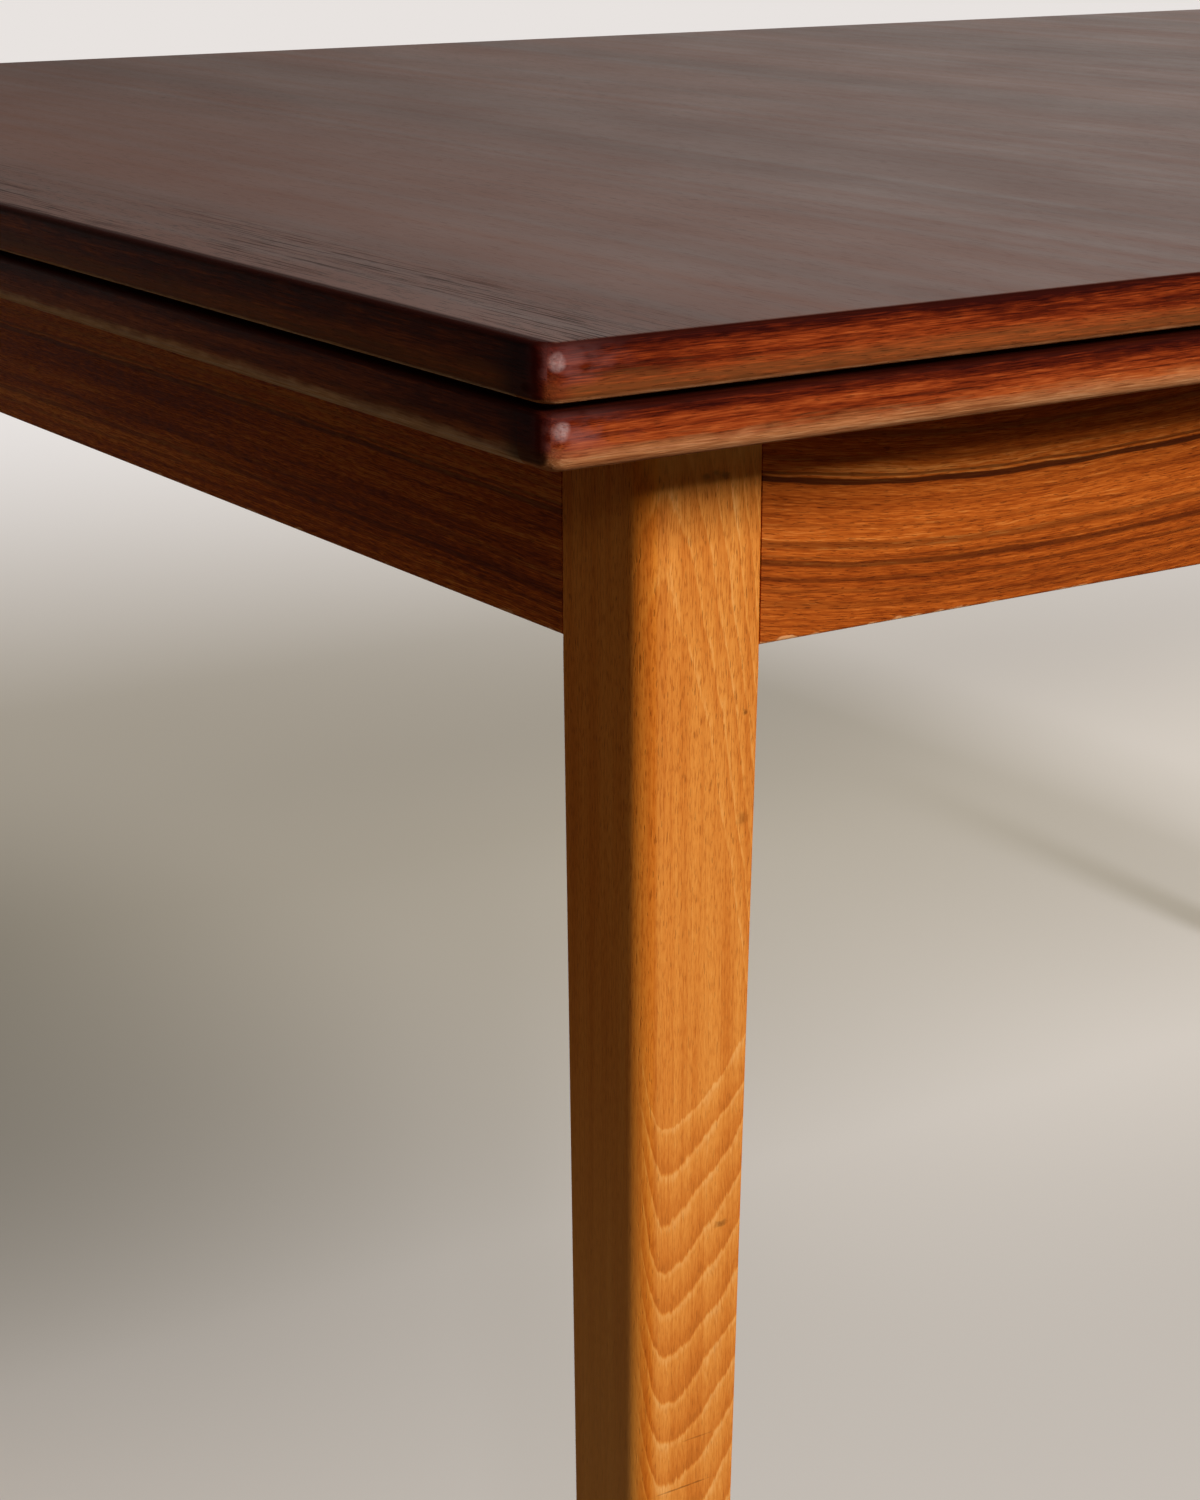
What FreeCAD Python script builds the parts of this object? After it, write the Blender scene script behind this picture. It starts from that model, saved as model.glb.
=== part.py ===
import FreeCAD, Part

import os
import re

import Sketcher
from FreeCAD import Rotation, Vector

# Extending dining table with two draw leaves
#
# The main board lies loose on felt pads above a fixed centre board and two draw leaves. Each leaf is
# screwed to a pair of long bearers, which run through the end apron and two cross rails. The bearers'
# undersides slope, so a leaf climbs by the thickness of the main board while it is drawn out.
#
# X runs along the table, Y across it, Z up. The origin is on the floor under the table's middle.
# Every leaf is drawn as the one at the +X end, and the other one is that leaf turned by half a turn.

SIZES = {
    # The whole table, closed
    "table_length": 1350,
    "table_width": 900,
    "table_height": 730,
    # Boards
    "top_thickness": 15,
    "leaf_thickness": 15,
    "top_gap": 2,
    "veneer_thickness": 0.8,
    "lipping_width": 14,
    "corner_round": 6,
    "top_upper_arris": 2,
    "top_lower_arris": 2.2,
    "leaf_upper_arris": 1.6,
    "leaf_lower_arris": 4.5,
    # Draw leaves and the centre board between them
    "centre_board_length": 346,
    "leaf_end_inset": 1,
    "centre_play": 1,
    "draw_play": 0.6,
    "slide_play": 0.3,
    # Frame under the boards
    "end_overhang": 65,
    "side_overhang": 53,
    "apron_height": 69,
    "apron_thickness": 20,
    "apron_arris": 1,
    "tenon_length": 18,
    "tenon_thickness": 8,
    "tenon_shoulder": 10,
    "tenon_play": 1,
    # Legs
    "leg_width": 40,
    "leg_foot_width": 27,
    "leg_taper_drop": 6,
    "leg_outer_round": 8,
    "leg_small_round": 1,
    "foot_arris": 2,
    # Cross rails
    "rail_thickness": 22,
    "rail_inset": 43,
    # Bearers: how far those of the right leaf stand in from the frame's sides, and the step from them
    # to the left leaf's
    "bearer_width": 24,
    "bearer_end_height": 22,
    "bearer_end_gap": 35,
    "bearer_side_play": 0.5,
    "bearer_inset": 165,
    "bearer_step": 40,
    # Stop pegs in the bearers
    "stop_peg_radius": 5,
    "stop_peg_reach": 8,
    "stop_gap": 0.5,
    # Guide pegs under the main board
    "guide_peg_radius": 12,
    "guide_peg_length": 60,
    "guide_peg_tip": 6,
    "guide_peg_step": 80,
    "guide_peg_play": 2,
    "peg_washer_radius": 19,
    "peg_washer_thickness": 2,
    # Felt pads between the boards
    "felt_radius": 12,
    "felt_end_inset": 63,
    "felt_side_inset": 110,
    # Screws
    "screw_radius": 2,
    "screw_head_radius": 4,
    "screw_head_height": 3,
    "screw_grip": 12,
    "screw_bite": 9,
    "screw_edge": 40,
    "screw_hole_play": 0.1,
    "centre_screw_bite": 22,
    "centre_screw_inset": 55,
    # Corner blocks and the bolts that pull the legs in
    "block_near": 92,
    "block_far": 120,
    "block_tip": 8,
    "block_height": 46,
    "bolt_radius": 4,
    "bolt_bite": 24,
    "bolt_tail": 12,
    "washer_radius": 9,
    "washer_thickness": 1.6,
    "nut_radius": 7.5,
    "nut_height": 6.5,
    # Foot glides
    "glide_radius": 10,
    "glide_thickness": 3,
    "glide_pin_radius": 1.2,
    "glide_pin_length": 12,
    # How far a cutting profile runs past the wood
    "overrun": 5,
}

PLACES = {
    "half_length": "table_length / 2",
    "half_width": "table_width / 2",
    "top_under": "table_height - top_thickness",
    "leaf_top": "top_under - top_gap",
    "leaf_under": "leaf_top - leaf_thickness",
    "leaf_outer": "half_length - leaf_end_inset",
    "centre_half": "centre_board_length / 2",
    "leaf_inner": "centre_half + centre_play",
    "leaf_travel": "half_length + draw_play - leaf_inner",
    "leaf_rise": "top_thickness + top_gap",
    "leaf_slope": "leaf_rise / leaf_travel",
    "frame_half_length": "half_length - end_overhang",
    "frame_half_width": "half_width - side_overhang",
    "frame_top": "leaf_under - slide_play",
    "apron_under": "frame_top - apron_height",
    "side_apron_half": "frame_half_length - leg_width",
    "end_apron_half": "frame_half_width - leg_width",
    "rail_half": "frame_half_width - apron_thickness",
    "rail_offset": "centre_half - rail_inset",
    "centre_screw_offset": "rail_half - centre_screw_inset",
    "right_bearer_offset": "frame_half_width - bearer_inset",
    "left_bearer_offset": "right_bearer_offset - bearer_step",
    "bearer_reach": "frame_half_length - apron_thickness - bearer_end_gap",
    "guide_peg_offset": "left_bearer_offset - guide_peg_step",
    "felt_offset_x": "centre_half - felt_end_inset",
    "felt_offset_y": "half_width - felt_side_inset",
    "tenon_inset": "(apron_thickness - tenon_thickness) / 2",
    # The bearer's underside where it meets the outside of the end apron, and the floors it runs on
    "bearer_under_end": "leaf_under - bearer_end_height",
    "apron_floor": "bearer_under_end - leaf_slope * apron_thickness - slide_play",
    "near_floor": "bearer_under_end - slide_play"
                  " - leaf_slope * (frame_half_length - rail_offset + rail_thickness / 2)",
    "far_floor": "bearer_under_end - slide_play"
                 " - leaf_slope * (frame_half_length + rail_offset + rail_thickness / 2)",
    "bearer_inner_under": "bearer_under_end - leaf_slope * (frame_half_length + bearer_reach)",
    "bearer_inner_top": "leaf_under - slide_play - leaf_slope * (leaf_inner + bearer_reach)",
    "stop_place": "rail_offset - rail_thickness / 2 - leaf_travel - stop_peg_radius - stop_gap",
    "stop_level": "(bearer_under_end - leaf_slope * (frame_half_length - stop_place)"
                  " + leaf_under - slide_play - leaf_slope * (leaf_inner - stop_place)) / 2",
    "bearer_slot_half": "bearer_width / 2 + bearer_side_play",
    "stop_slot_half": "bearer_slot_half + stop_peg_reach",
    "screw_hole_radius": "screw_radius + screw_hole_play",
    "screw_head_hole": "screw_head_radius + screw_hole_play",
    "leg_length": "frame_top - glide_thickness",
    "taper_start": "apron_under - glide_thickness - leg_taper_drop",
    "block_level": "apron_under + (apron_height - block_height) / 2",
    "bolt_level": "block_level + block_height / 2",
    "foot_middle": "leg_foot_width / 2",
}

DECIMALS = 3
SCREWS_PER_BEARER = 4

doc = FreeCAD.newDocument("extending_table")


def fill_sheet(name, cells):
    """Write each value or formula into a sheet of its own under its alias."""
    sheet = doc.addObject("Spreadsheet::Sheet", name)
    for row, (alias, content) in enumerate(cells.items(), start=1):
        sheet.set(f"A{row}", alias)
        sheet.set(f"B{row}", content)
        sheet.setAlias(f"B{row}", alias)
    return sheet


def in_sheets(formula):
    """Put the sheet's name before every size or place that a formula names."""
    def named(match):
        word = match.group()
        if word in SIZES:
            return "Sizes." + word
        return "Places." + word if word in PLACES else word
    return re.sub(r"[a-z_]+", named, formula)


sizes = fill_sheet("Sizes", {alias: str(value) for alias, value in SIZES.items()})
doc.recompute()
places = fill_sheet("Places", {alias: "=" + in_sheets(formula) for alias, formula in PLACES.items()})
doc.recompute()

subparts = []


def value(formula):
    """The number that a formula gives with the sheet's present sizes."""
    return float(sizes.evalExpression(in_sheets(formula)))


def bind(item, prop, formula):
    """Tie a property to a formula of the sheet's sizes."""
    item.setExpression(prop, in_sheets(formula))


def stand(item, x="0", y="0", z="0", turn=Rotation()):
    """Give an object its place and its turn."""
    item.Placement = FreeCAD.Placement(Vector(), turn)
    for axis, formula in (("x", x), ("y", y), ("z", z)):
        if formula != "0":
            bind(item, f"Placement.Base.{axis}", formula)


def upright(degrees):
    """A turn about the vertical axis."""
    return Rotation(Vector(0, 0, 1), degrees)


def keep(item, label):
    """Name an object as one sub-part of the table."""
    item.Label = label
    subparts.append(item)
    return item


def negative(formula):
    return f"-({formula})"


# Sketches and features of the wooden pieces


def new_body(name):
    return doc.addObject("PartDesign::Body", name)


def new_sketch(body, name, role, level="0"):
    """A sketch on one of the body's own origin planes, moved along that plane's normal."""
    plane = next(item for item in body.Origin.OriginFeatures if item.Role == role)
    sketch = body.newObject("Sketcher::SketchObject", name)
    sketch.AttachmentSupport = [(plane, "")]
    sketch.MapMode = "FlatFace"
    if level != "0":
        bind(sketch, "AttachmentOffset.Base.z", level)
    return sketch


def fix_point(sketch, geometry, point, place):
    """Hold a point of the sketch at two distances from its origin."""
    for kind, formula in zip(("DistanceX", "DistanceY"), place):
        constraint = Sketcher.Constraint(kind, -1, 1, geometry, point, value(formula))
        index = sketch.addConstraint(constraint)
        bind(sketch, f"Constraints[{index}]", formula)


def add_outline(sketch, corners):
    """A closed outline of straight lines through the corners."""
    points = [Vector(value(x), value(y), 0) for x, y in corners]
    first = sketch.GeometryCount
    for start, end in zip(points, points[1:] + points[:1]):
        sketch.addGeometry(Part.LineSegment(start, end), False)
    count = len(corners)
    for index in range(count):
        following = first + (index + 1) % count
        sketch.addConstraint(Sketcher.Constraint("Coincident", first + index, 2, following, 1))
    for index, corner in enumerate(corners):
        fix_point(sketch, first + index, 1, corner)


def add_rectangle(sketch, x, y):
    add_outline(sketch, [(x[0], y[0]), (x[1], y[0]), (x[1], y[1]), (x[0], y[1])])


def add_circle(sketch, x, y, radius):
    circle = Part.Circle(Vector(value(x), value(y), 0), Vector(0, 0, 1), value(radius))
    geometry = sketch.addGeometry(circle, False)
    fix_point(sketch, geometry, 3, (x, y))
    index = sketch.addConstraint(Sketcher.Constraint("Radius", geometry, value(radius)))
    bind(sketch, f"Constraints[{index}]", radius)


def pad(body, sketch, length, symmetric=False):
    feature = body.newObject("PartDesign::Pad", sketch.Name + "_pad")
    feature.Profile = sketch
    bind(feature, "Length", length)
    if symmetric:
        feature.SideType = "Symmetric"
    body.Tip = feature
    return feature


def pocket(body, sketch, depth="", backwards=False):
    """Cut a sketch to a depth, or right through both ways where no depth is given."""
    before = body.Tip
    feature = body.newObject("PartDesign::Pocket", sketch.Name + "_pocket")
    feature.Profile = sketch
    if depth:
        bind(feature, "Length", depth)
        feature.Reversed = backwards
    else:
        feature.Type = "ThroughAll"
        feature.SideType = "Symmetric"
    body.Tip = feature
    doc.recompute()
    if not feature.Shape.Volume < before.Shape.Volume:
        raise RuntimeError(f"{body.Name}: {feature.Name} cuts nothing")
    return feature


def round_edges(body, radius, chosen):
    """Round the edges that the test picks from the body as it is so far."""
    doc.recompute()
    base = body.Tip
    names = [f"Edge{index}" for index, edge in enumerate(base.Shape.Edges, start=1) if chosen(edge)]
    if not names:
        raise RuntimeError(f"{body.Name}: no edge to round")
    feature = body.newObject("PartDesign::Fillet", body.Name + "_round")
    feature.Base = (base, names)
    bind(feature, "Radius", radius)
    body.Tip = feature
    return feature


def near(first, second):
    """Whether two measures are the same to the decimals that count."""
    return round(first - second, DECIMALS) == 0


def middle(edge):
    return edge.CenterOfMass


def level_at(edge, formula):
    """Whether an edge lies all along at one height."""
    return all(near(vertex.Z, value(formula)) for vertex in edge.Vertexes)


def is_vertical(edge):
    start, end = edge.Vertexes[0].Point, edge.Vertexes[-1].Point
    return near(start.x, end.x) and near(start.y, end.y) and not near(start.z, end.z)


def plank(name, x, y, z, turn=0):
    """A square-edged board between two limits along each axis."""
    body = new_body(name)
    sketch = new_sketch(body, name + "_outline", "XY_Plane")
    add_rectangle(sketch, x, y)
    pad(body, sketch, f"({z[1]}) - ({z[0]})")
    stand(body, z=z[0], turn=upright(turn))
    return keep(body, name)


def drill(body, name, level, spots, radius, depth, upwards):
    """Round holes from one level of a body, up or down."""
    sketch = new_sketch(body, name, "XY_Plane", level)
    for x, y in spots:
        add_circle(sketch, x, y, radius)
    return pocket(body, sketch, depth, upwards)


# Boards: a core, its veneers and solid lippings


def long_lipping(name, x, side, z, turn, round_low, round_high, upper_arris, lower_arris):
    """A lipping along a long side, side -1 or 1, with rounded outer corners and arrises."""
    outer = "half_width" if side > 0 else "-half_width"
    inner = f"{outer} - {side} * lipping_width"
    y = (inner, outer) if side > 0 else (outer, inner)
    body = plank(name, x, y, z, turn)
    doc.recompute()
    corners = [limit for limit, rounded in zip(x, (round_low, round_high)) if rounded]
    if corners:
        round_edges(body, "corner_round", lambda edge: is_vertical(edge)
                    and near(middle(edge).y, value(outer))
                    and any(near(middle(edge).x, value(limit)) for limit in corners))
    square = [limit for limit in x if limit not in corners]

    def exposed(edge):
        spot = middle(edge)
        inside = near(spot.y, value(inner))
        return not inside and not any(near(spot.x, value(limit)) for limit in square)

    thickness = f"({z[1]}) - ({z[0]})"
    round_edges(body, upper_arris, lambda edge: level_at(edge, thickness) and exposed(edge))
    round_edges(body, lower_arris, lambda edge: level_at(edge, "0") and exposed(edge))
    return body


def end_lipping(name, outer, side, z, turn, upper_arris="", lower_arris=""):
    """A lipping across an end, between the long lippings, at the outer limit on one side."""
    inner = f"{outer} - {side} * lipping_width"
    x = (inner, outer) if side > 0 else (outer, inner)
    y = ("lipping_width - half_width", "half_width - lipping_width")
    body = plank(name, x, y, z, turn)
    if upper_arris:
        thickness = f"({z[1]}) - ({z[0]})"
        round_edges(body, upper_arris, lambda edge: level_at(edge, thickness)
                    and near(middle(edge).x, value(outer)))
        round_edges(body, lower_arris, lambda edge: level_at(edge, "0")
                    and near(middle(edge).x, value(outer)))
    return body


def faced_core(name, x, z, turn=0):
    """The core of a board with a veneer above and below it, inside the long lippings."""
    y = ("lipping_width - half_width", "half_width - lipping_width")
    low_face = f"{z[0]} + veneer_thickness"
    high_face = f"{z[1]} - veneer_thickness"
    core = plank(name + "_core", x, y, (low_face, high_face), turn)
    upper = plank(name + "_upper_veneer", x, y, (high_face, z[1]), turn)
    lower = plank(name + "_lower_veneer", x, y, (z[0], low_face), turn)
    return core, upper, lower


def main_board():
    """The loose main board, lipped all round."""
    z = ("top_under", "table_height")
    inside = ("lipping_width - half_length", "half_length - lipping_width")
    faced_core("main_top", inside, z)
    whole = ("-half_length", "half_length")
    for name, side in (("front", -1), ("back", 1)):
        long_lipping(f"main_top_lipping_{name}", whole, side, z, 0, True, True,
                     "top_upper_arris", "top_lower_arris")
    for name, outer, side in (("left", "-half_length", -1), ("right", "half_length", 1)):
        end_lipping(f"main_top_lipping_{name}", outer, side, z, 0, "top_upper_arris", "top_lower_arris")


def centre_board():
    """The fixed board between the leaves, screwed down on the cross rails."""
    z = ("leaf_under", "leaf_top")
    x = ("-centre_half", "centre_half")
    core, upper, lower = faced_core("centre_board", x, z)
    for name, side in (("front", -1), ("back", 1)):
        long_lipping(f"centre_board_lipping_{name}", x, side, z, 0, False, False,
                     "leaf_upper_arris", "leaf_lower_arris")
    peg_spots = [("0", "guide_peg_offset"), ("0", "-guide_peg_offset")]
    for board, thickness in ((core, "leaf_thickness"), (upper, "veneer_thickness"),
                             (lower, "veneer_thickness")):
        sketch = new_sketch(board, board.Name + "_holes", "XY_Plane")
        for x_place, y_place in peg_spots:
            add_circle(sketch, x_place, y_place, "guide_peg_radius + guide_peg_play")
        for x_place, y_place in centre_screw_spots():
            add_circle(sketch, x_place, y_place, "screw_hole_radius")
        pocket(board, sketch)
    drill(upper, "head_holes_veneer", "veneer_thickness", centre_screw_spots(),
          "screw_head_hole", "veneer_thickness", False)
    drill(core, "head_holes_core", "leaf_thickness - 2 * veneer_thickness", centre_screw_spots(),
          "screw_head_hole", "leaf_thickness - screw_grip - veneer_thickness", False)


CENTRE_SCREW_ROWS = ("-centre_screw_offset", "0", "centre_screw_offset")


def centre_screw_spots():
    return [(x, y) for x in ("-rail_offset", "rail_offset") for y in CENTRE_SCREW_ROWS]


# Draw leaves


LEAVES = (("left", 180, "left_bearer_offset"), ("right", 0, "right_bearer_offset"))


def bearer_screw_spots(side, offset):
    """Where the screws of one bearer stand, spread evenly from the frame's end to the leaf's inner edge."""
    span = "(frame_half_length - leaf_inner - 2 * screw_edge)"
    rows = [f"leaf_inner + screw_edge + {span} * {step} / ({SCREWS_PER_BEARER} - 1)"
            for step in range(SCREWS_PER_BEARER)]
    return [(x, f"{side} * {offset}") for x in rows]


def leaf_screw_spots(offset):
    """Where the screws of one leaf's two bearers stand."""
    return bearer_screw_spots(-1, offset) + bearer_screw_spots(1, offset)


def leaf_board(name, turn, offset):
    """One leaf's board, with the pilot holes for its bearers' screws."""
    z = ("leaf_under", "leaf_top")
    inside = ("leaf_inner + lipping_width", "leaf_outer - lipping_width")
    core, _, lower = faced_core(name, inside, z, turn)
    spots = leaf_screw_spots(offset)
    drill(lower, name + "_veneer_holes", "0", spots, "screw_hole_radius", "veneer_thickness", True)
    drill(core, name + "_pilot_holes", "0", spots, "screw_hole_radius", "screw_bite", True)
    whole = ("leaf_inner", "leaf_outer")
    sides = (("front", -1), ("back", 1)) if turn == 0 else (("back", -1), ("front", 1))
    for side_name, side in sides:
        long_lipping(f"{name}_lipping_{side_name}", whole, side, z, turn, False, True,
                     "leaf_upper_arris", "leaf_lower_arris")
    end_lipping(f"{name}_lipping_end", "leaf_outer", 1, z, turn, "leaf_upper_arris", "leaf_lower_arris")
    end_lipping(f"{name}_lipping_inner", "leaf_inner", -1, z, turn)


def bearer(name, side, turn, offset):
    """A bearer: level where the leaf is screwed on, sloping underneath and at its inner part."""
    body = new_body(name)
    profile = new_sketch(body, name + "_profile", "XZ_Plane", f"{-side} * {offset}")
    add_outline(profile, [
        ("-bearer_reach", "bearer_inner_under"),
        ("frame_half_length", "bearer_under_end"),
        ("frame_half_length", "leaf_under"),
        ("leaf_inner", "leaf_under"),
        ("leaf_inner", "leaf_under - slide_play"),
        ("-bearer_reach", "bearer_inner_top"),
    ])
    pad(body, profile, "bearer_width", symmetric=True)
    spots = bearer_screw_spots(side, offset)
    drill(body, name + "_head_holes", "leaf_under - screw_grip", spots, "screw_head_hole",
          "apron_height", False)
    drill(body, name + "_screw_holes", "leaf_under", spots, "screw_hole_radius",
          "apron_height", False)
    peg_hole = new_sketch(body, name + "_peg_hole", "XZ_Plane", f"{-side} * {offset}")
    add_circle(peg_hole, "stop_place", "stop_level", "stop_peg_radius + screw_hole_play")
    pocket(body, peg_hole)
    stand(body, turn=upright(turn))
    return keep(body, name)


def cylinder(name, radius, height, x="0", y="0", z="0", turn=Rotation()):
    item = doc.addObject("Part::Cylinder", name)
    bind(item, "Radius", radius)
    bind(item, "Height", height)
    stand(item, x, y, z, turn)
    return item


def fuse(name, base, tool):
    whole = doc.addObject("Part::Fuse", name)
    whole.Base = base
    whole.Tool = tool
    return whole


def group(label, items, turn=0):
    """Several like solids kept as one sub-part."""
    compound = doc.addObject("Part::Compound", label)
    compound.Links = items
    stand(compound, turn=upright(turn))
    return keep(compound, label)


def screw(name, x, y, head_level, downwards, bite):
    """A screw from its head's seat: the shank runs one way from there and the head the other."""
    upwards, over = Rotation(), Rotation(Vector(1, 0, 0), 180)
    shank_turn, head_turn = (over, upwards) if downwards else (upwards, over)
    shank = cylinder(name + "_shank", "screw_radius", f"screw_grip + {bite}", x, y, head_level,
                     shank_turn)
    head = cylinder(name + "_head", "screw_head_radius", "screw_head_height", x, y, head_level,
                    head_turn)
    return fuse(name, shank, head)


def draw_leaf(side_name, turn, offset):
    """A whole leaf: board, bearers, their screws and the stop pegs."""
    name = f"leaf_{side_name}"
    leaf_board(name, turn, offset)
    names = {-1: "front", 1: "back"} if turn == 0 else {-1: "back", 1: "front"}
    pegs = []
    for side in (-1, 1):
        bearer(f"{name}_bearer_{names[side]}", side, turn, offset)
        across = Rotation(Vector(1, 0, 0), -90 * side)
        start = f"{side} * ({offset} - bearer_width / 2)"
        pegs.append(cylinder(f"{name}_peg_{names[side]}", "stop_peg_radius",
                             "bearer_width + stop_peg_reach", "stop_place", start, "stop_level", across))
    screws = [screw(f"{name}_screw_{index}", x, y, "leaf_under - screw_grip", False,
                    "screw_bite - screw_hole_play")
              for index, (x, y) in enumerate(leaf_screw_spots(offset), start=1)]
    group(f"{name}_bearer_screws", screws, turn)
    group(f"{name}_stop_pegs", pegs, turn)


# Frame


def apron(name, half, x, y, turn, slots=()):
    """An apron with a tenon at each end, and slots in its upper edge for the bearers."""
    body = new_body(name)
    board = new_sketch(body, name + "_board", "XY_Plane")
    add_rectangle(board, (negative(half), half), ("0", "apron_thickness"))
    pad(body, board, "apron_height")
    tenons = new_sketch(body, name + "_tenons", "XY_Plane", "tenon_shoulder")
    reach = f"{half} + tenon_length"
    add_rectangle(tenons, (negative(reach), reach), ("tenon_inset", "tenon_inset + tenon_thickness"))
    pad(body, tenons, "apron_height - 2 * tenon_shoulder")
    if slots:
        cut_slots(body, "apron_floor - apron_under", "apron_height", slots)
    round_edges(body, "apron_arris", lambda edge: level_at(edge, "0") and near(middle(edge).y, 0)
                and near(middle(edge).x, 0))
    stand(body, x, y, "apron_under", upright(turn))
    return keep(body, name)


def cut_slots(body, floor, top, slots):
    """Open slots down from an upper edge, each between two places along the piece."""
    sketch = new_sketch(body, f"{body.Name}_slots_{len(body.Group)}", "XZ_Plane")
    for low, high in slots:
        add_rectangle(sketch, (low, high), (floor, f"{top} + overrun"))
    pocket(body, sketch)


def both_sides(low, high):
    """A slot on each side of the table's middle line."""
    return [(low, high), (negative(high), negative(low))]


def cross_rail(name, side, near_offset, far_offset):
    """A cross rail with close slots for its own leaf's bearers and wide ones for the other leaf's."""
    body = new_body(name)
    board = new_sketch(body, name + "_board", "XY_Plane")
    add_rectangle(board, ("-rail_half", "rail_half"), ("-rail_thickness / 2", "rail_thickness / 2"))
    height = "leaf_under - apron_under"
    pad(body, board, height)
    cut_slots(body, "near_floor - apron_under", height,
              both_sides(f"{near_offset} - bearer_slot_half", f"{near_offset} + bearer_slot_half"))
    cut_slots(body, "far_floor - apron_under", height,
              both_sides(f"{far_offset} - bearer_slot_half", f"{far_offset} + stop_slot_half"))
    screw_rows = [(row, "0") for row in CENTRE_SCREW_ROWS]
    drill(body, name + "_pilot_holes", height, screw_rows, "screw_hole_radius",
          "centre_screw_bite + screw_hole_play", False)
    stand(body, f"{side} * rail_offset", "0", "apron_under", upright(90))
    return keep(body, name)


CORNERS = (("front_left", -1, -1, 0), ("front_right", 1, -1, 90),
           ("back_right", 1, 1, 180), ("back_left", -1, 1, 270))

DIAGONAL = Rotation(Vector(0, 0, 1), Vector(1, 1, 0))
INWARD_SHARE = 0.5 ** 0.5


def on_diagonal(distance):
    """The X or Y of a point on a corner's inward diagonal at a distance from the outer corner."""
    return f"({distance}) * {INWARD_SHARE}"


def leg_corner_reach():
    """How far along the diagonal the leg's rounded inner corner lies."""
    return f"leg_width / {INWARD_SHARE}"


def leg_blank(name):
    """A square leg, upright outside and tapered on its two inner faces, with its mortises."""
    body = new_body(name)
    section = new_sketch(body, name + "_section", "XY_Plane")
    add_rectangle(section, ("0", "leg_width"), ("0", "leg_width"))
    pad(body, section, "leg_length")
    for role in ("XZ_Plane", "YZ_Plane"):
        taper = new_sketch(body, f"{name}_taper_{role[:2]}", role)
        add_outline(taper, [
            ("leg_foot_width", "0"),
            ("leg_width", "taper_start"),
            ("leg_width + overrun", "taper_start"),
            ("leg_width + overrun", "0"),
        ])
        pocket(body, taper)
    doc.recompute()

    mortise_y = ("tenon_inset", "tenon_inset + tenon_thickness")
    mortise_z = ("apron_under - glide_thickness + tenon_shoulder",
                 "frame_top - glide_thickness - tenon_shoulder")
    side_mortise = new_sketch(body, name + "_side_mortise", "YZ_Plane", "leg_width")
    add_rectangle(side_mortise, mortise_y, mortise_z)
    pocket(body, side_mortise, "tenon_length + tenon_play")
    end_mortise = new_sketch(body, name + "_end_mortise", "XZ_Plane", "-leg_width")
    add_rectangle(end_mortise, mortise_y, mortise_z)
    pocket(body, end_mortise, "tenon_length + tenon_play", True)

    def outer_corner(edge):
        return near(middle(edge).x, 0) and near(middle(edge).y, 0)

    def side_corner(edge):
        levels = [vertex.Z for vertex in edge.Vertexes]
        at_end = any(near(level, value(limit)) for level in levels for limit in ("0", "leg_length"))
        at_side = near(middle(edge).x, 0) or near(middle(edge).y, 0)
        return at_end and at_side and not near(levels[0], levels[-1]) and not outer_corner(edge)

    round_edges(body, "leg_small_round", side_corner)
    round_edges(body, "leg_outer_round", outer_corner)
    round_edges(body, "foot_arris", lambda edge: level_at(edge, "0"))
    drill(body, name + "_pin_hole", "0", [("foot_middle", "foot_middle")],
          "glide_pin_radius + screw_hole_play", "glide_pin_length + screw_hole_play", True)
    return body


def bolt_tool(name, start, length, level, radius):
    """A cylinder along a corner's diagonal, from a distance off the outer corner inwards."""
    place = on_diagonal(start)
    return cylinder(name, radius, length, place, place, level, DIAGONAL)


def cut(label, base, tool):
    item = doc.addObject("Part::Cut", label)
    item.Base = base
    item.Tool = tool
    return item


def at_corner(item, corner, level="0"):
    """Put a piece that is drawn from the frame's outer corner at one of the four corners."""
    _, x_side, y_side, turn = corner
    stand(item, f"{x_side} * frame_half_length", f"{y_side} * frame_half_width", level, upright(turn))
    return item


def leg(corner):
    name = f"leg_{corner[0]}"
    start = f"{leg_corner_reach()} - bolt_bite - screw_hole_play"
    hole = bolt_tool(name + "_bolt_hole", start, "bolt_bite + leg_width", "bolt_level - glide_thickness",
                     "bolt_radius + screw_hole_play")
    whole = cut(name, leg_blank(name + "_blank"), hole)
    at_corner(whole, corner, "glide_thickness")
    return keep(whole, name)


def corner_block(corner):
    """A block glued across the corner between two aprons, drilled for the leg's bolt."""
    name = f"corner_block_{corner[0]}"
    body = new_body(name + "_blank")
    sketch = new_sketch(body, name + "_outline", "XY_Plane")
    inside = "apron_thickness"
    add_outline(sketch, [
        (inside, "block_near - apron_thickness"),
        ("block_near - apron_thickness", inside),
        ("block_far - apron_thickness", inside),
        ("block_far - apron_thickness", f"{inside} + block_tip"),
        (f"{inside} + block_tip", "block_far - apron_thickness"),
        (inside, "block_far - apron_thickness"),
    ])
    pad(body, sketch, "block_height")
    hole = bolt_tool(name + "_hole", "0", "block_far", "block_height / 2", "bolt_radius + screw_hole_play")
    whole = cut(name, body, hole)
    at_corner(whole, corner, "block_level")
    return keep(whole, name)


def block_face():
    """How far along the diagonal the block's inner face lies."""
    return f"(block_far + block_tip) * {INWARD_SHARE}"


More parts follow.
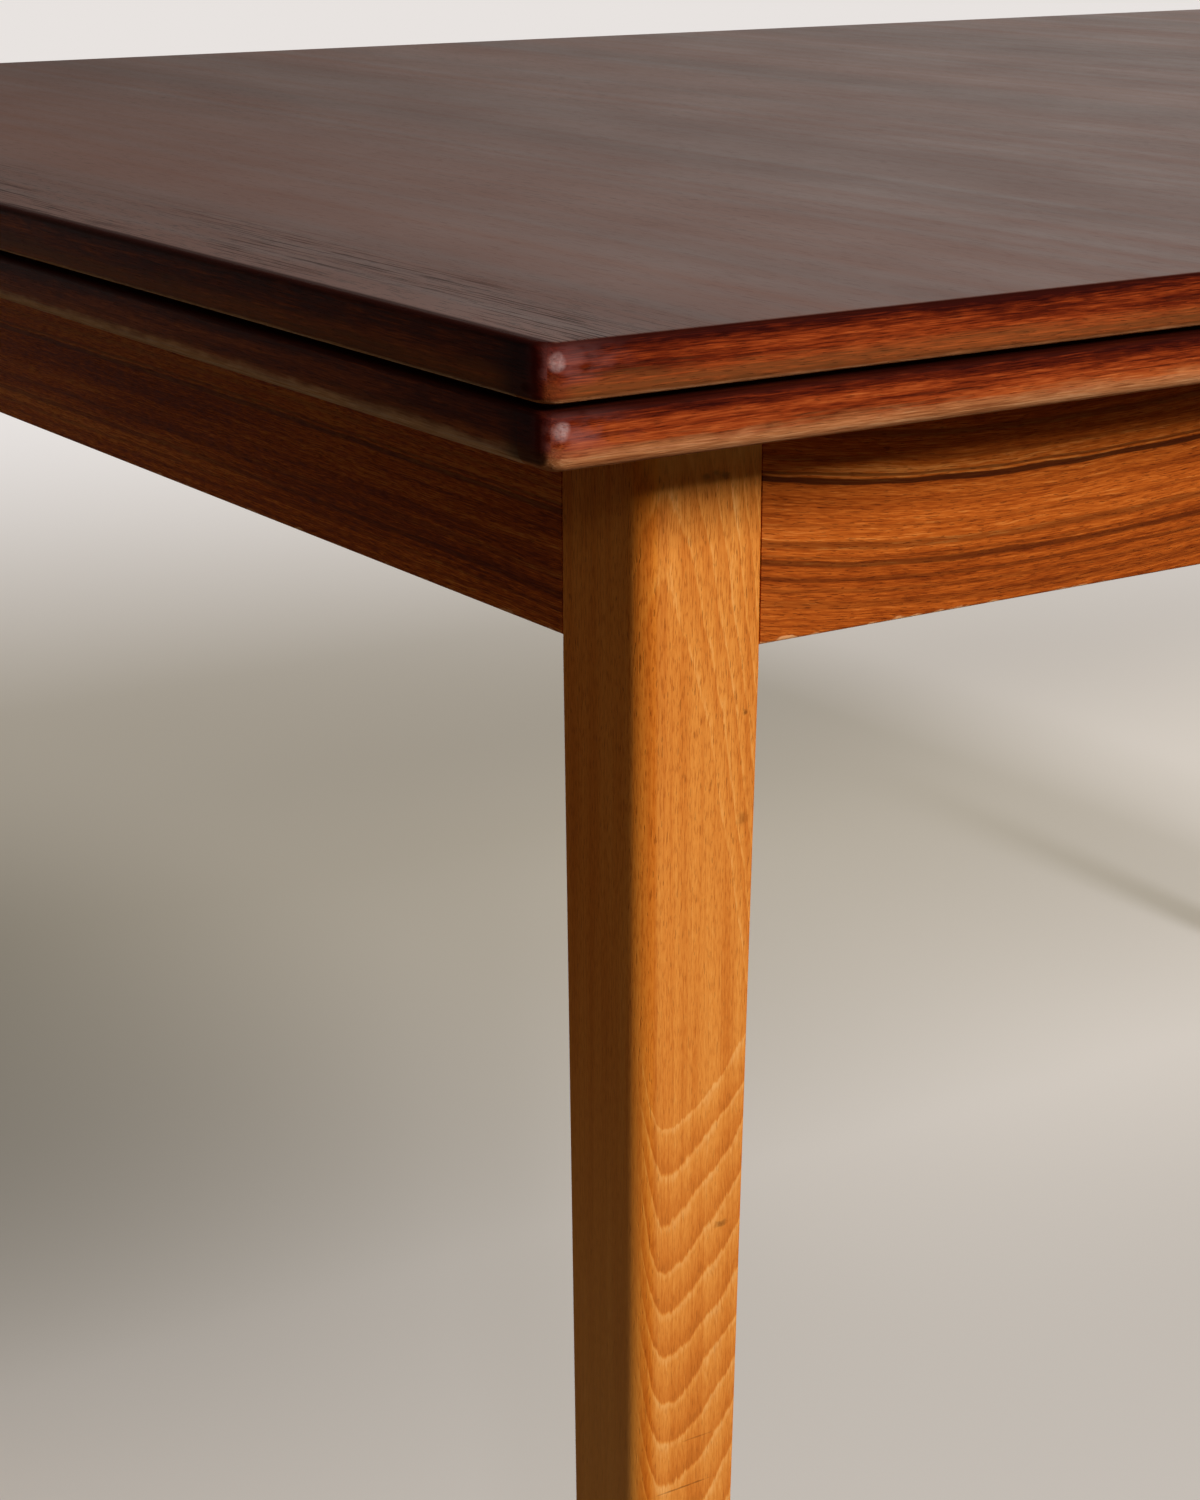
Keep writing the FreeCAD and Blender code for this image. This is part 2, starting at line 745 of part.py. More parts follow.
def corner_hardware():
    """The bolts, washers and nuts, one of each at every corner."""
    bolts, washers, nuts = [], [], []
    for corner in CORNERS:
        name = corner[0]
        start = f"{leg_corner_reach()} - bolt_bite"
        end = f"{block_face()} + washer_thickness + bolt_tail"
        bolt = bolt_tool(f"bolt_{name}", start, f"{end} - ({start})", "0", "bolt_radius")
        washer_disc = bolt_tool(f"washer_disc_{name}", block_face(), "washer_thickness", "0",
                                "washer_radius")
        washer_hole = bolt_tool(f"washer_hole_{name}", "0", "block_far + block_tip", "0",
                                "bolt_radius + screw_hole_play")
        seat = f"{block_face()} + washer_thickness"
        prism = doc.addObject("Part::Prism", f"nut_prism_{name}")
        prism.Polygon = 6
        bind(prism, "Circumradius", "nut_radius")
        bind(prism, "Height", "nut_height")
        stand(prism, on_diagonal(seat), on_diagonal(seat), "0", DIAGONAL)
        nut_hole = bolt_tool(f"nut_hole_{name}", "0", "block_far + 2 * block_tip", "0",
                             "bolt_radius + screw_hole_play")
        for items, item in ((bolts, bolt), (washers, cut(f"washer_{name}", washer_disc, washer_hole)),
                            (nuts, cut(f"nut_{name}", prism, nut_hole))):
            holder = doc.addObject("Part::Compound", f"{item.Name}_place")
            holder.Links = [item]
            items.append(at_corner(holder, corner, "bolt_level"))
    group("leg_bolts", bolts)
    group("leg_bolt_washers", washers)
    group("leg_bolt_nuts", nuts)


def foot_glides():
    glides = []
    for corner in CORNERS:
        name = f"glide_{corner[0]}"
        disc = cylinder(name + "_disc", "glide_radius", "glide_thickness", "foot_middle", "foot_middle")
        pin = cylinder(name + "_pin", "glide_pin_radius", "glide_thickness + glide_pin_length",
                       "foot_middle", "foot_middle")
        glides.append(at_corner(fuse(name, disc, pin), corner))
    group("foot_glides", glides)


def frame():
    """Legs, aprons, cross rails, centre board and what holds them together."""
    for corner in CORNERS:
        leg(corner)
        corner_block(corner)
    apron("apron_front", "side_apron_half", "0", "-frame_half_width", 0)
    apron("apron_back", "side_apron_half", "0", "frame_half_width", 180)
    for name, x, turn, offset in (("right", "frame_half_length", 90, "right_bearer_offset"),
                                  ("left", "-frame_half_length", 270, "left_bearer_offset")):
        slots = both_sides(f"{offset} - bearer_slot_half", f"{offset} + bearer_slot_half")
        apron(f"apron_end_{name}", "end_apron_half", x, "0", turn, slots)
    cross_rail("cross_rail_left", -1, "left_bearer_offset", "right_bearer_offset")
    cross_rail("cross_rail_right", 1, "right_bearer_offset", "left_bearer_offset")
    centre_board()
    screws = [screw(f"centre_screw_{index}", x, y, "leaf_under + screw_grip", True, "centre_screw_bite")
              for index, (x, y) in enumerate(centre_screw_spots(), start=1)]
    group("centre_board_screws", screws)
    corner_hardware()
    foot_glides()


# What lies between the boards and what guides the main board


def felt_pads():
    spots = [(f"{x_side} * felt_offset_x", f"{y_side} * felt_offset_y")
             for x_side in (-1, 1) for y_side in (-1, 1)]
    pads = [cylinder(f"felt_pad_{index}", "felt_radius", "top_gap", x, y, "leaf_top")
            for index, (x, y) in enumerate(spots, start=1)]
    group("top_felt_pads", pads)


def guide_pegs():
    """Turned pegs under the main board, each with a retaining washer and a screw at its tip."""
    washers, screws = [], []
    for name, side in (("front", -1), ("back", 1)):
        y = f"{side} * guide_peg_offset"
        label = f"guide_peg_{name}"
        tip_top = "top_under - guide_peg_length + guide_peg_tip"
        shaft = cylinder(label + "_shaft", "guide_peg_radius", "guide_peg_length - guide_peg_tip",
                         "0", y, tip_top)
        tip = doc.addObject("Part::Cone", label + "_tip")
        bind(tip, "Radius1", "guide_peg_radius - guide_peg_tip / 2")
        bind(tip, "Radius2", "guide_peg_radius")
        bind(tip, "Height", "guide_peg_tip")
        peg_end = "top_under - guide_peg_length"
        stand(tip, "0", y, peg_end)
        turned = fuse(label + "_turned", shaft, tip)
        hole = cylinder(label + "_hole", "screw_hole_radius",
                        "screw_grip + screw_bite - peg_washer_thickness + screw_hole_play", "0", y, peg_end)
        keep(cut(label, turned, hole), label)
        seat = f"{peg_end} - peg_washer_thickness"
        disc = cylinder(label + "_washer_disc", "peg_washer_radius", "peg_washer_thickness", "0", y, seat)
        washer_hole = cylinder(label + "_washer_hole", "screw_hole_radius", "guide_peg_length", "0", y,
                               seat)
        washers.append(cut(label + "_washer", disc, washer_hole))
        screws.append(screw(label + "_screw", "0", y, seat, False, "screw_bite"))
    group("guide_peg_washers", washers)
    group("guide_peg_screws", screws)


frame()
felt_pads()
main_board()
guide_pegs()
for leaf in LEAVES:
    draw_leaf(*leaf)
doc.recompute()

# Every object is sound before anything is written

for item in doc.Objects:
    if "Invalid" in item.State or "Error" in item.State:
        raise RuntimeError(f"{item.Label} failed: {item.State}")
for item in subparts:
    if item.Shape.isNull() or not item.Shape.isValid() or not item.Shape.Solids:
        raise RuntimeError(f"{item.Label} has no sound shape")

os.makedirs("parts", exist_ok=True)
for item in subparts:
    item.Shape.exportStep(f"parts/{item.Label}.step")

print(len(subparts), "sub-parts")
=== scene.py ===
"""Dresses the extending dining table: teak boards, beech legs, fittings, studio and camera."""

from __future__ import annotations

import logging
import math
from dataclasses import dataclass, field, replace
from enum import Enum
from typing import Any, Sequence, Union

import bmesh
import bpy
from mathutils import Matrix, Vector

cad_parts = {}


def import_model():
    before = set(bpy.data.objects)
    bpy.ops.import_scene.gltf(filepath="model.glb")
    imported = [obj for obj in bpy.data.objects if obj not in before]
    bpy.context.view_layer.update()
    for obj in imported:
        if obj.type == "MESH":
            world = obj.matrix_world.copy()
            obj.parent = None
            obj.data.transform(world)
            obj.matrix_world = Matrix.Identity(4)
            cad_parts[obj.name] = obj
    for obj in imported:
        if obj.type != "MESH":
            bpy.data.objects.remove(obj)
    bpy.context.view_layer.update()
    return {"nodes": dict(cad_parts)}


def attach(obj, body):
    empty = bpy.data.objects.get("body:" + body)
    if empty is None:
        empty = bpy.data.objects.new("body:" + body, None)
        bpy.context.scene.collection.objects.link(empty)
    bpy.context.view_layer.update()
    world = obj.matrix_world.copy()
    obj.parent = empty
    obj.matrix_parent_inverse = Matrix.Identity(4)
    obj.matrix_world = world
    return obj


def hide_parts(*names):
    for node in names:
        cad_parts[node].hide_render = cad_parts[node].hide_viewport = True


log = logging.getLogger("extending_table")

Colour = tuple[float, float, float]
Point = tuple[float, float, float]
Size = tuple[float, float]
Span = tuple[float, float]
Spot = tuple[Point, Point]
Stops = Sequence[tuple[float, Colour]]

WHITE: Colour = (1.0, 1.0, 1.0)
BLACK: Colour = (0.0, 0.0, 0.0)
UPRIGHT: Point = (0.0, 0.0, 0.0)
UPSIDE_DOWN: Point = (math.pi, 0.0, 0.0)
SMOOTH_BELOW = math.radians(35)


def linear(level: int) -> float:
    """A screen level from 0 to 255 as the linear share of light."""
    share = level / 255
    return share / 12.92 if share <= 0.04045 else ((share + 0.055) / 1.055) ** 2.4


def paint(red: int, green: int, blue: int) -> Colour:
    """A colour as it looks on a screen, as the linear one that a shader takes."""
    return linear(red), linear(green), linear(blue)


class Axis(Enum):
    """A direction of the table: along it, across it, or up."""

    LENGTH = 0
    WIDTH = 1
    HEIGHT = 2


class Slot(Enum):
    """Material slot names that are passed along with new pieces but not given to them."""

    STEEL = "zinc_steel"
    FELT = "felt"
    GLIDE = "glide_plastic"


# Shader maths


class Value:
    """A shader socket that takes part in arithmetic, which adds Math nodes."""

    def __init__(self, shader: "Shader", socket: bpy.types.NodeSocket) -> None:
        """Hold a socket and the shader that it belongs to."""
        self.shader = shader
        self.socket = socket

    def _math(self, operation: str, *parts: "Number") -> "Value":
        """Add a Math node with these parts."""
        return self.shader.node("ShaderNodeMath", {"operation": operation}, dict(enumerate(parts)))

    def __add__(self, other: "Number") -> "Value":
        """Sum."""
        return self._math("ADD", self, other)

    def __radd__(self, other: "Number") -> "Value":
        """Sum with a number in front."""
        return self._math("ADD", other, self)

    def __sub__(self, other: "Number") -> "Value":
        """Difference."""
        return self._math("SUBTRACT", self, other)

    def __rsub__(self, other: "Number") -> "Value":
        """Difference from a number in front."""
        return self._math("SUBTRACT", other, self)

    def __mul__(self, other: "Number") -> "Value":
        """Product."""
        return self._math("MULTIPLY", self, other)

    def __rmul__(self, other: "Number") -> "Value":
        """Product with a number in front."""
        return self._math("MULTIPLY", other, self)

    def __truediv__(self, other: "Number") -> "Value":
        """Quotient."""
        return self._math("DIVIDE", self, other)

    def __rtruediv__(self, other: "Number") -> "Value":
        """Quotient of a number in front."""
        return self._math("DIVIDE", other, self)

    def __neg__(self) -> "Value":
        """The same value with the other sign."""
        return self._math("MULTIPLY", self, -1.0)

    def __abs__(self) -> "Value":
        """The value without its sign."""
        return self._math("ABSOLUTE", self)

    def low(self, other: "Number") -> "Value":
        """The smaller of two values."""
        return self._math("MINIMUM", self, other)

    def high(self, other: "Number") -> "Value":
        """The larger of two values."""
        return self._math("MAXIMUM", self, other)

    def fraction(self) -> "Value":
        """What is left of the value above a whole number."""
        return self._math("FRACT", self)

    def soft_abs(self, ease: float) -> "Value":
        """The value without its sign, rounded off at zero."""
        return self._math("SQRT", self * self + ease * ease)

    def step(self, start: float, end: float) -> "Value":
        """A smooth step from 0 at start to 1 at end."""
        return self.shader.node(
            "ShaderNodeMapRange", {"interpolation_type": "SMOOTHSTEP", "clamp": True},
            {0: self, 1: start, 2: end, 3: 0.0, 4: 1.0})

    def ridge(self, centre: float, half: float) -> "Value":
        """1 at the centre, falling smoothly to 0 at half a width on either side."""
        return 1 - abs(self - centre).step(0, half)


Number = Union[Value, float, int]
Feed = Union[Value, float, int, Sequence[float]]
Parts = tuple[Value, Value, Value]


class Shader:
    """A material or a world while its nodes are being laid."""

    def __init__(self, name: str, shelf: Any = None) -> None:
        """Start an empty material, or an empty world.

        Args:
            name: Its name.
            shelf: The collection of worlds, or None for a material.
        """
        self.owner = (bpy.data.materials if shelf is None else shelf).new(name)
        self.owner.use_nodes = True
        self.tree = self.owner.node_tree
        self.tree.nodes.clear()

    def node(self, kind: str, settings: dict[str, Any] | None = None,
             values: dict[Any, Feed] | None = None, out: Any = 0) -> Value:
        """Add any node.

        Args:
            kind: The node's type.
            settings: Properties to set first; "stops" holds a colour ramp's places and colours.
            values: Values or links of its input sockets.
            out: The output that is wanted.

        Returns:
            That output.
        """
        made = self.tree.nodes.new(kind)
        for key, setting in (settings or {}).items():
            if key == "stops":
                self._set_stops(made.color_ramp, setting)
            else:
                setattr(made, key, setting)
        for key, feed in (values or {}).items():
            socket = made.inputs[key]
            if isinstance(feed, Value):
                self.tree.links.new(feed.socket, socket)
            elif socket.type == "RGBA" and len(feed) == 3:
                socket.default_value = (*feed, 1.0)
            else:
                socket.default_value = feed
        return Value(self, made.outputs[out] if made.outputs else made.inputs[0])

    @staticmethod
    def _set_stops(ramp: bpy.types.ColorRamp, stops: Stops) -> None:
        """Put the stops of a colour ramp in place.

        Args:
            ramp: The ramp, with two stops of its own.
            stops: Places from 0 to 1 in rising order, with their colours.
        """
        while len(ramp.elements) < len(stops):
            ramp.elements.new(0.5)
        for element, (place, colour) in zip(ramp.elements, stops):
            element.position = place
            element.color = (*colour, 1.0)

    def mix(self, share: Number, first: Feed, second: Feed, mode: str = "MIX") -> Value:
        """Blend two colours.

        Args:
            share: How much of the second one.
            first: The first colour.
            second: The second colour.
            mode: The way of blending.

        Returns:
            The blended colour.
        """
        return self.node("ShaderNodeMix", {"data_type": "RGBA", "blend_type": mode},
                         {0: share, 6: first, 7: second}, 2)

    def ramp(self, share: Number, stops: Stops) -> Value:
        """A colour from a ramp."""
        return self.node("ShaderNodeValToRGB", {"stops": stops}, {0: share})

    def place(self) -> Value:
        """The point of the object that is shaded."""
        return self.node("ShaderNodeTexCoord", out="Object")

    def split(self, vector: Value) -> Parts:
        """The three parts of a vector."""
        outputs = self.node("ShaderNodeSeparateXYZ", values={0: vector}).socket.node.outputs
        return tuple(Value(self, output) for output in outputs)

    def join(self, *parts: Number) -> Value:
        """A vector from three parts."""
        return self.node("ShaderNodeCombineXYZ", values=dict(enumerate(parts)))

    def length(self, *parts: Number) -> Value:
        """The length of a vector that is given by its three parts."""
        return self.node("ShaderNodeVectorMath", {"operation": "LENGTH"}, {0: self.join(*parts)}, "Value")

    def scaled(self, colour: Feed, level: Value) -> Value:
        """A colour made brighter or darker."""
        return self.node("ShaderNodeVectorMath", {"operation": "SCALE"}, {0: colour, "Scale": level})

    def seen(self) -> Value:
        """Tell what is looked at from light that only bounces.

        Returns:
            1 for what a camera, a gloss or a glass looks at, and 0 for the rest.
        """
        rays = self.node("ShaderNodeLightPath", out="Is Camera Ray")
        outputs = rays.socket.node.outputs
        return rays.high(Value(self, outputs["Is Glossy Ray"])).high(
            Value(self, outputs["Is Transmission Ray"]))

    def facing(self) -> Parts:
        """The direction that the surface faces."""
        return self.split(self.node("ShaderNodeNewGeometry", out="Normal"))

    def stretched(self, parts: Sequence[Number], size: float | Sequence[float]) -> Value:
        """The place as a vector that counts in steps of a size, or of one for each part."""
        steps = size if isinstance(size, Sequence) else [size] * len(parts)
        return self.join(*(part if step == 1 else part / step for part, step in zip(parts, steps)))

    def noise(self, parts: Sequence[Number], size: float | Sequence[float], detail: float = 2.0,
              roughness: float = 0.5, warp: float = 0.0) -> Value:
        """Soft noise.

        Args:
            parts: The place; a plain number among them only picks another noise.
            size: The size of its features, in metres, or one size for each part.
            detail: How many finer layers it has.
            roughness: How strong the finer layers are.
            warp: How far it is drawn out of shape.

        Returns:
            The noise, about 0.5.
        """
        return self.node("ShaderNodeTexNoise", values={
            "Vector": self.stretched(parts, size), "Scale": 1.0, "Detail": detail,
            "Roughness": roughness, "Distortion": warp})

    def cells(self, parts: Sequence[Number], size: float | Sequence[float]) -> Value:
        """The distance to the nearest of scattered points, in steps of their spacing."""
        return self.node("ShaderNodeTexVoronoi",
                         values={"Vector": self.stretched(parts, size), "Scale": 1.0})

    def surface(self, colour: Feed, roughness: Number, height: Value, depth: float,
                **others: Feed) -> Value:
        """A surface of the material.

        Args:
            colour: Base colour.
            roughness: Roughness.
            height: Relief, from 0 to 1.
            depth: How deep the relief is, in metres.
            others: Other values of the surface, by socket name.

        Returns:
            The surface's output.
        """
        values: dict[Any, Feed] = {"Base Color": colour, "Roughness": roughness}
        values.update({key.replace("_", " "): level for key, level in others.items()})
        values["Normal"] = self.node("ShaderNodeBump", values={
            "Height": height, "Distance": depth, "Strength": 1.0})
        return self.node("ShaderNodeBsdfPrincipled", values=values)

    def close(self, surface: Value) -> bpy.types.Material:
        """Close the material with its surface."""
        self.node("ShaderNodeOutputMaterial", values={"Surface": surface})
        return self.owner


@dataclass(frozen=True)
class Finish:
    """A named finish, which builds one material."""

    name: str

    def place(self, shader: Shader) -> Value:
        """The point that the pattern is laid on."""
        return shader.place()

    def surface(self, shader: Shader, place: Parts) -> Value:
        """The surface at a place; each finish has its own."""
        raise NotImplementedError(self.name)

    def material(self) -> bpy.types.Material:
        """Build the finish."""
        shader = Shader(self.name)
        return shader.close(self.surface(shader, shader.split(self.place(shader))))


# Wood


@dataclass(frozen=True)
class Grain:
    """How the wood lies in a piece: the axis it grew along, the face's other axis and the depth."""

    along: Axis
    across: Axis
    deep: Axis
    shift: Point = (0.0, 0.0, 0.0)

    def lay(self, place: Parts) -> Parts:
        """The place along the grain, across it and into the wood, in metres."""
        order = (self.along, self.across, self.deep)
        return tuple(place[axis.value] + move for axis, move in zip(order, self.shift))


ALONG_LENGTH = Grain(Axis.LENGTH, Axis.HEIGHT, Axis.WIDTH)
ALONG_WIDTH = Grain(Axis.WIDTH, Axis.LENGTH, Axis.HEIGHT)
ACROSS_RAILS = Grain(Axis.WIDTH, Axis.HEIGHT, Axis.LENGTH)
UPWARDS = Grain(Axis.HEIGHT, Axis.LENGTH, Axis.WIDTH)


@dataclass(frozen=True)
class Growth:
    """How a wood grew: sizes are metres along the grain and across it.

    The pores show where their noise is above the rarity, and the grain strays sideways by wander.
    """

    wander: float
    pore: Size = (0.006, 0.00055)
    rarity: float = 0.6
    streak: Size = (0.45, 0.010)
    band: Size = (1.1, 0.05)
    fibre: Size = (0.025, 0.0009)
    sway: Point = (0.22, 0.09, 0.09)


@dataclass(frozen=True)
class Figure:
    """What shows of a wood's growth at one place, each from 0 to 1."""

    bands: Value
    streaks: Value
    fibres: Value
    pores: Value

    @classmethod
    def of(cls, shader: Shader, parts: Parts, growth: Growth) -> "Figure":
        """Grow the figure.

        Args:
            shader: The material.
            parts: The place along, across and into the wood.
            growth: The sizes of the wood's growth.

        Returns:
            The figure.
        """
        along, across, deep = parts
        bent = across + (shader.noise(parts, growth.sway, 1.0) - 0.5) * growth.wander

        def layer(size: Size, detail: float) -> Value:
            """Noise drawn out along the grain."""
            return shader.noise((along, bent, deep), (size[0], size[1], size[1]), detail, 0.55)

        return cls(layer(growth.band, 1.0), layer(growth.streak, 3.0), layer(growth.fibre, 3.0),
                   layer(growth.pore, 1.0).step(growth.rarity, growth.rarity + 0.08))

    def tone(self, bands: float, streaks: float, fibres: float) -> Value:
        """The layers as one tone, with a weight for each."""
        return self.bands * bands + self.streaks * streaks + self.fibres * fibres


@dataclass(frozen=True)
class TeakTop(Finish):
    """Rubbed teak veneer: dark and smooth, with soft streaks across the table."""

    grain: Grain = ALONG_WIDTH
    end_level: float = 0.675
    end_zone: float = 0.062
    end_fade: float = 0.034
    growth: Growth = Growth(0.009, (0.008, 0.0006), 0.60, (1.3, 0.010), (2.4, 0.070), (0.09, 0.0015))
    patch: Size = (0.35, 0.16)
    furrow: Size = (0.055, 0.0010)
    tuft: Size = (0.16, 0.03)
    smear: Size = (0.10, 0.05)
    depth: float = 0.00008
    gloss: float = 0.45
    dark: Colour = paint(77, 38, 27)
    middle: Colour = paint(96, 49, 33)
    pale: Colour = paint(113, 62, 42)
    pore: Colour = paint(34, 16, 12)

    def veneer(self, shader: Shader, parts: Parts) -> Value:
        """Lay the veneer: long streaks, and open pores in furrows near the ends.

        Args:
            shader: The material that it is laid in.
            parts: The place along, across and into the wood.

        Returns:
            The surface's output.
        """
        along, across, _ = parts
        figure = Figure.of(shader, parts, self.growth)
        patch = shader.noise((along, across, 7.0), (*self.patch, 1))
        tone = figure.tone(0.44, 0.36, 0.12) + patch * 0.08
        base = shader.ramp(tone, [(0.38, self.dark), (0.52, self.middle), (0.68, self.pale)])
        near_end = (abs(across) - self.end_level + self.end_zone).step(0.0, self.end_fade)
        lines = shader.noise((along, across, 0.0), (*self.furrow, 1)).step(0.53, 0.64)
        tufts = shader.noise((along, across, 4.0), (*self.tuft, 1), 1.0).step(0.38, 0.60)
        furrows = near_end * lines * tufts
        open_grain = patch.step(0.50, 0.64) * 0.40 + near_end * 0.75
        pores = (figure.pores * (open_grain + 0.10)).high(furrows * 0.8).low(1.0)
        base = shader.mix(pores, base, self.pore)
        smear = shader.noise((along, across, 0.0), (*self.smear, 1), 3.0)
        roughness = (0.42 + (smear - 0.5) * 0.12 + (figure.streaks - 0.5) * 0.16
                     + figure.pores * 0.06 + furrows * 0.3)
        relief = (figure.fibres * 0.2 + figure.streaks * 0.1
                  - figure.pores * (near_end * 0.6 + 0.2) - furrows * 1.8)
        return shader.surface(base, roughness, relief, self.depth, Specular_IOR_Level=self.gloss)

    def surface(self, shader: Shader, place: Parts) -> Value:
        """The veneer laid along the board's own grain."""
        return self.veneer(shader, self.grain.lay(place))


@dataclass(frozen=True)
class EdgePlace:
    """A place on a board's edge, in metres, and what shows there, from 0 to 1."""

    height: Value
    from_end: Value
    from_side: Value
    facing: Parts
    figure: Figure
    chips: Value
    grit: Value
    ragged: Value
    worn: Value


@dataclass(frozen=True)
class TeakLipping(Finish):
    """Solid teak edge: streaked along the edge, dented, dark above and worn pale below."""

    lengthwise: bool
    top_level: float
    under_level: float
    worn_height: float
    dark_height: float
    end_rim: float
    side_rim: float
    lightness: float = 0.0
    end_level: float = 0.675
    side_level: float = 0.45
    lustre: float = 0.008
    # share of painted shade laid over the whole edge, set for the shaded end lippings
    painted_shade_share: float = 0.0
    growth: Growth = Growth(0.002, (0.005, 0.00045), 0.62, (0.040, 0.0013), (0.10, 0.0042),
                            (0.009, 0.00040))
    chip: Point = (0.010, 0.0045, 0.0045)
    dent_spacing: Point = (0.030, 0.011, 0.016)
    dented_part: Point = (0.05, 0.02, 0.05)
    grit: float = 0.0011
    mitre_blur: float = 0.0001
    streak_sway: float = 0.008
    chip_sway: float = 0.004
    worn_sway: float = 160
    varnish_fade: Span = (-0.0014, 0.0018)
    # width of the painted shade on the end faces beside the long sides
    corner_shade_zone: Span = (0.012, 0.026)
    corner_zone: Span = (0.004, 0.010)
    outer_zone: Span = (0.0020, 0.0050)
    arris: float = 0.0011
    arris_chips: float = 0.0016
    arris_fade: Span = (-0.0003, 0.0004)
    # place and half width of the painted highlight on the corner
    glint_from_end: float = 0.0040
    glint_half: float = 0.0026
    # place and half width of the painted sheen beside the corner
    sheen_from_end: float = 0.0060
    sheen_half: float = 0.0240
    top_fade: Span = (-0.0012, -0.0005)
    depth: float = 0.00026
    colours: tuple[Colour, ...] = (
        paint(50, 12, 8), paint(96, 31, 12), paint(144, 58, 22), paint(176, 84, 37), paint(206, 122, 66))
    tans: tuple[Colour, ...] = (paint(142, 80, 44), paint(196, 128, 80), paint(230, 172, 122))
    dry_wood: Colour = paint(156, 96, 48)
    pore: Colour = paint(40, 12, 7)
    dent: Colour = paint(26, 8, 7)
    # colour of the painted shade on the end faces beside the corners
    corner_shade_colour: Colour = paint(24, 7, 5)
    # colour of the painted shade on the rounded corner
    corner_shade_red: Colour = paint(92, 22, 14)
    # colour of the painted shade over the shaded ends
    painted_shade_colour: Colour = paint(40, 15, 8)
    dark_arris: Colour = paint(46, 13, 8)
    # colour of the painted sheen
    sheen_colour: Colour = paint(168, 112, 108)
    # colour of the painted highlight
    glint_colour: Colour = paint(214, 182, 178)

    @property
    def thickness(self) -> float:
        """The board's thickness."""
        return self.top_level - self.under_level

    def run_and_depth(self, x: Value, y: Value, from_end: Value, from_side: Value) -> tuple[Value, Value]:
        """The way along the edge and into it.

        Args:
            x: The place along the table.
            y: The place across the table.
            from_end: The distance from the board's end.
            from_side: The distance from the board's side.

        Returns:
            The place along the edge and into it; a long edge turns with the board's corner.
        """
        if not self.lengthwise:
            return y, x
        crosswise = (from_side - from_end).step(-self.mitre_blur, self.mitre_blur)
        return x + (y - x) * crosswise, y + (x - y) * crosswise

    def wood(self, shader: Shader, at: EdgePlace) -> Value:
        """The colour of the unworn edge.

        Args:
            shader: The material.
            at: The place.

        Returns:
            Dark varnish above, streaked wood, and dry wood below.
        """
        shade = (at.height - self.thickness + self.dark_height + at.ragged).step(*self.varnish_fade)
        tone = at.figure.tone(0.36, 0.36, 0.46) - 0.11 - shade * 0.14 + self.lightness
        edge = shader.ramp(tone, list(zip((0.30, 0.42, 0.52, 0.62, 0.74), self.colours)))
        dry = 1 - (at.height + at.ragged).step(self.thickness * 0.20, self.thickness * 0.55)
        edge = shader.mix(dry * 0.35, edge, self.dry_wood)
        return shader.mix(at.figure.pores * 0.35, edge, self.pore)

    def darkened(self, shader: Shader, edge: Value, at: EdgePlace, corner: Value) -> Value:
        """Darken the edge with painted shade on the end faces beside the corners, on the rounded corner
        and over the shaded ends, and with a dark line along the upper arris.

        Args:
            shader: The material.
            edge: The edge's colour.
            at: The place.
            corner: How near the board's corner is.

        Returns:
            The colour with the dark places.
        """
        # painted shade: a dark band on the end faces beside the long sides, where the rounded corner
        # turns from the light
        painted_corner_shade = (1 - at.from_side.step(*self.corner_shade_zone)) * abs(at.facing[0]).step(0.70, 0.88)
        edge = shader.mix(painted_corner_shade * 0.85, edge, self.corner_shade_colour)
        # painted shade: darker red on the rounded corner, apart from the worn band
        edge = shader.mix(corner * (1 - at.worn) * 0.45, edge, self.corner_shade_red)
        # painted shade over the whole edge of a shaded end, apart from its worn band
        if self.painted_shade_share:
            edge = shader.mix(self.painted_shade_share * (1 - at.worn), edge, self.painted_shade_colour)
        arris = at.height - self.thickness + self.arris + (at.chips - 0.5) * self.arris_chips
        return shader.mix(arris.step(*self.arris_fade) * 0.8, edge, self.dark_arris)

    def painted_glint(self, at: EdgePlace, outer: Value) -> Value:
        """The painted highlight on the corner, an oval spot that stands in for a reflection of the light.

        Args:
            at: The place.
            outer: Where the place lies on the board's long face.

        Returns:
            The spot, from 0 to 1.
        """
        beside = (at.from_end - self.glint_from_end) / self.glint_half
        above = (at.height - self.thickness * 0.70) / (self.thickness * 0.19)
        oval = 1 - (beside * beside + above * above + (at.chips - 0.5) * 1.6).step(-0.15, 1.0)
        return oval * outer * (at.grit.step(0.34, 0.62) * 0.5 + 0.5)

    def surface(self, shader: Shader, place: Parts) -> Value:
        """The lipping's edge, with the top's finish on its upper face.

        Args:
            shader: The material.
            place: The place on the object.

        Returns:
            The surface's output.
        """
        x, y, z = place
        from_end, from_side = self.end_level - abs(x), self.side_level - abs(y)
        run, depth = self.run_and_depth(x, y, from_end, from_side)
        figure = Figure.of(shader, (run, z, depth), self.growth)
        height = z - self.under_level
        chips = shader.noise((run, z, depth), self.chip, 3.0)
        ragged = (figure.streaks - 0.5) * self.streak_sway + (chips - 0.5) * self.chip_sway
        worn = 1 - (height + ragged * self.worn_height * self.worn_sway).step(
            self.worn_height * 0.45, self.worn_height * 1.35)
        at = EdgePlace(height, from_end, from_side, shader.facing(), figure, chips,
                       shader.noise(place, self.grit), ragged, worn)

